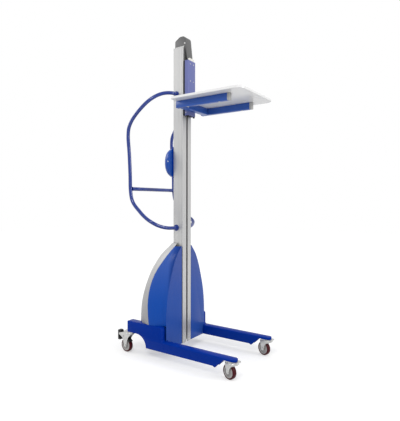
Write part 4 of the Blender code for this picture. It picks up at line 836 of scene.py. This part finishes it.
def smooth_tube(node):
    """Rounder copy of a bent tube, with its cut ends kept crisp."""
    piece = copy_of(node, node + "_tube")
    bpy.ops.object.mode_set(mode="EDIT")
    bpy.ops.mesh.select_all(action="SELECT")
    bpy.ops.mesh.tris_convert_to_quads(face_threshold=math.radians(40.0), shape_threshold=math.radians(60.0))
    bpy.ops.transform.shrink_fatten(value=0.0003)
    bpy.ops.mesh.select_all(action="DESELECT")
    bpy.ops.mesh.edges_select_sharp(sharpness=math.radians(60.0))
    bpy.ops.transform.edge_crease(value=1.0)
    bpy.ops.object.mode_set(mode="OBJECT")
    rounder = piece.modifiers.new("rounder", "SUBSURF")
    rounder.levels = 2
    rounder.render_levels = 2
    bpy.ops.object.modifier_apply(modifier="rounder")
    bpy.ops.object.shade_smooth_by_angle(angle=math.radians(45.0))
    return settle(piece, body_of(node), tube_coat, (node,))


for tube_name in ("push_handle_left", "push_handle_right", "handle_crossbar"):
    smooth_tube(tube_name)
dress(("pod_plate",), blue_coat)

collar_radius = 0.0127
flange_master = ring_of("flange_master", [
    (collar_radius, 0.0), (0.0210, 0.0), (0.0214, 0.0006), (0.0214, 0.0022), (0.0206, 0.0030),
    (0.0166, 0.0034), (0.0154, 0.0044), (0.0150, 0.0094), (0.0142, 0.0102), (collar_radius, 0.0102)], 40)
bead_master = ring_of("bead_master", round_corner((collar_radius, 0.0), 0.0019, -90.0, 90.0, 6), 32)
mast_half = 0.047
foot_y = 0.113
foot_heights = (1.748, 0.847)
for flank, label in ((-1.0, "left"), (1.0, "right")):
    for height in foot_heights:
        place_copy(flange_master, "handle_flange_" + label, (flank * (mast_half + hair_gap), foot_y, height),
                   (flank, 0.0, 0.0), "frame", tube_coat)
bar_ends_low, bar_ends_high = (Vector(corner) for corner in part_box("handle_crossbar"))
bar_middle = (bar_ends_low + bar_ends_high) / 2
for flank in (-1.0, 1.0):
    place_copy(bead_master, "crossbar_weld", (flank * (bar_ends_high.x - 0.0012), bar_middle.y, bar_middle.z),
               (1.0, 0.0, 0.0), "frame", tube_coat)
retire(flange_master, bead_master)


# The control pod is a domed blue moulding behind the mast. Its rear face has a red stop button,
# and two lift buttons and a key switch, each in a collar; two screws hold it to its plate.

def moulding(name, colour, light, specular=0.2):
    """Satin injection moulding: fine spark grain, soft sheen and faint tone drift."""
    material, shader, place = new_finish(name, colour, 0.30, 0.0, specular)
    cloud = noise(place, 4.0, 3.0)
    feed(shader, "Base Color", mix(place, cloud * 0.9, colour, light))
    feed(shader, "Roughness", cloud * 0.10 + 0.26)
    grain(shader, place, 620.0, 0.10)
    return material


pod_blue = moulding("pod_moulding", (0.0030, 0.0560, 0.3300), (0.0080, 0.0720, 0.3700), 0.3)
eased("control_pod", pod_blue, 0.0008, 2, 40.0, 40.0)
eased("up_button", black_plastic, 0.0006, 2, 40.0, 40.0)
eased("down_button", black_plastic, 0.0006, 2, 40.0, 40.0)
stop_red, stop_shader, stop_place = new_finish("stop_button_red", (0.52, 0.015, 0.012), 0.30, 0.0, 0.4)
stop_wear = noise(stop_place, 80.0, 4.0)
feed(stop_shader, "Roughness", stop_wear * 0.2 + 0.20)
feed(stop_shader, "Base Color", mix(stop_place, stop_wear * 0.4, (0.54, 0.016, 0.012), (0.40, 0.012, 0.010)))
eased("emergency_stop", stop_red, 0.0016, 3, 40.0, 40.0)
chrome, chrome_shader, chrome_place = new_finish("key_barrel_chrome", (0.72, 0.72, 0.72), 0.16, 1.0)
feed(chrome_shader, "Roughness", noise(chrome_place, 300.0, 4.0) * 0.14 + 0.10)
dress(("key_switch",), chrome)

pod_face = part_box("control_pod")[1][1]
for control, collar_slot, collar_finish, gap, band, rise in (
        ("up_button", "black_plastic", black_plastic, 0.0006, 0.0035, 0.0016),
        ("down_button", "black_plastic", black_plastic, 0.0006, 0.0035, 0.0016),
        ("key_switch", "key_barrel_chrome", chrome, 0.0006, 0.0030, 0.0014)):
    control_low, control_high = (Vector(corner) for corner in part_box(control))
    inside = (control_high.x - control_low.x) / 2 + gap
    outside = inside + band
    collar = ring_of(control + "_collar", [(inside, 0.0), (outside, 0.0), (outside, rise * 0.5),
                                           (outside - rise * 0.5, rise), (inside, rise)], 40)
    middle = (control_low + control_high) / 2
    collar.matrix_world = seat_on((middle.x, pod_face + hair_gap, middle.z), (0.0, 1.0, 0.0))
    settle(collar, "frame", collar_finish)

pod_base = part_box("control_pod")[0][1]
pod_skirt_half = 0.0915
pod_screw_z = 1.2950
for flank in (-1.0, 1.0):
    screws(screw_small, "pod_screw", [(flank * pod_skirt_half, pod_base + 0.0040, pod_screw_z)],
           (flank, 0.0, 0.0), "frame")


# The covers: two blue shells beside the mast and a silver one behind, 3 mm mouldings with a curved seam.
# The blue is painted paler towards the top as a painted highlight, its front panel is painted paler than the
# sides as a painted reflection, and a painted shade darkens the side beside the front crease.

shell_blue, shell_shader, shell_place = new_finish("blue_moulding", (0.0012, 0.0640, 0.3700), 0.34, 0.0, 0.14)
shell_cloud = noise(shell_place, 4.0, 3.0)
shell_height = shell_place.node("ShaderNodeSeparateXYZ", {}, {"Vector": shell_place}, "Z")
shell_depth = shell_place.node("ShaderNodeSeparateXYZ", {}, {"Vector": shell_place}, "Y")
crease_y = 0.062
# Painted highlight: the blue is painted paler towards the top, mixed with a little random tone drift.
shell_painted_sheen_and_drift = ramp_of(shell_height, 0.34, 0.70, 0.0, 1.0) * 0.7 + shell_cloud * 0.15
# Painted reflection: the front panel's blue is paler and greyer than the side's blue.
front_blue_painted_reflection = mix(shell_place, shell_painted_sheen_and_drift, (0.0180, 0.0760, 0.3650), (0.0680, 0.1020, 0.3200))
side_blue = mix(shell_place, shell_painted_sheen_and_drift, (0.0004, 0.0640, 0.3850), (0.0560, 0.1200, 0.4200))
on_side = ramp_of(shell_depth, crease_y + 0.0012, crease_y + 0.0022, 0.0, 1.0)
# Painted shade: the side is painted darker next to the front crease, in a band that widens and deepens
# upwards.
crease_shade_width = ramp_of(shell_height, 0.38, 0.72, 0.016, 0.055)
crease_painted_shade = ramp_of((shell_depth - crease_y) / crease_shade_width, 0.2, 1.0, 1.0, 0.0)
crease_painted_shade = crease_painted_shade * ramp_of(shell_height, 0.34, 0.58, 0.0, 0.85) * on_side
# Painted reflection: the paler blue in front of the crease, the side blue behind it.
blue_painted_by_facing = mix(shell_place, on_side, front_blue_painted_reflection, side_blue)
# The deep blue mixed in here is the painted shade beside the crease.
feed(shell_shader, "Base Color", mix(shell_place, crease_painted_shade, blue_painted_by_facing, (0.0004, 0.0340, 0.2300)))
feed(shell_shader, "Roughness", shell_cloud * 0.10 + 0.26)
grain(shell_shader, shell_place, 620.0, 0.10)
for side in ("left", "right"):
    eased("fairing_" + side, shell_blue, 0.0014, 3, 17.0, 17.0)
eased("rear_cover", silver, 0.0007, 2, 38.0, 40.0)

retire(screw_large, screw_small)
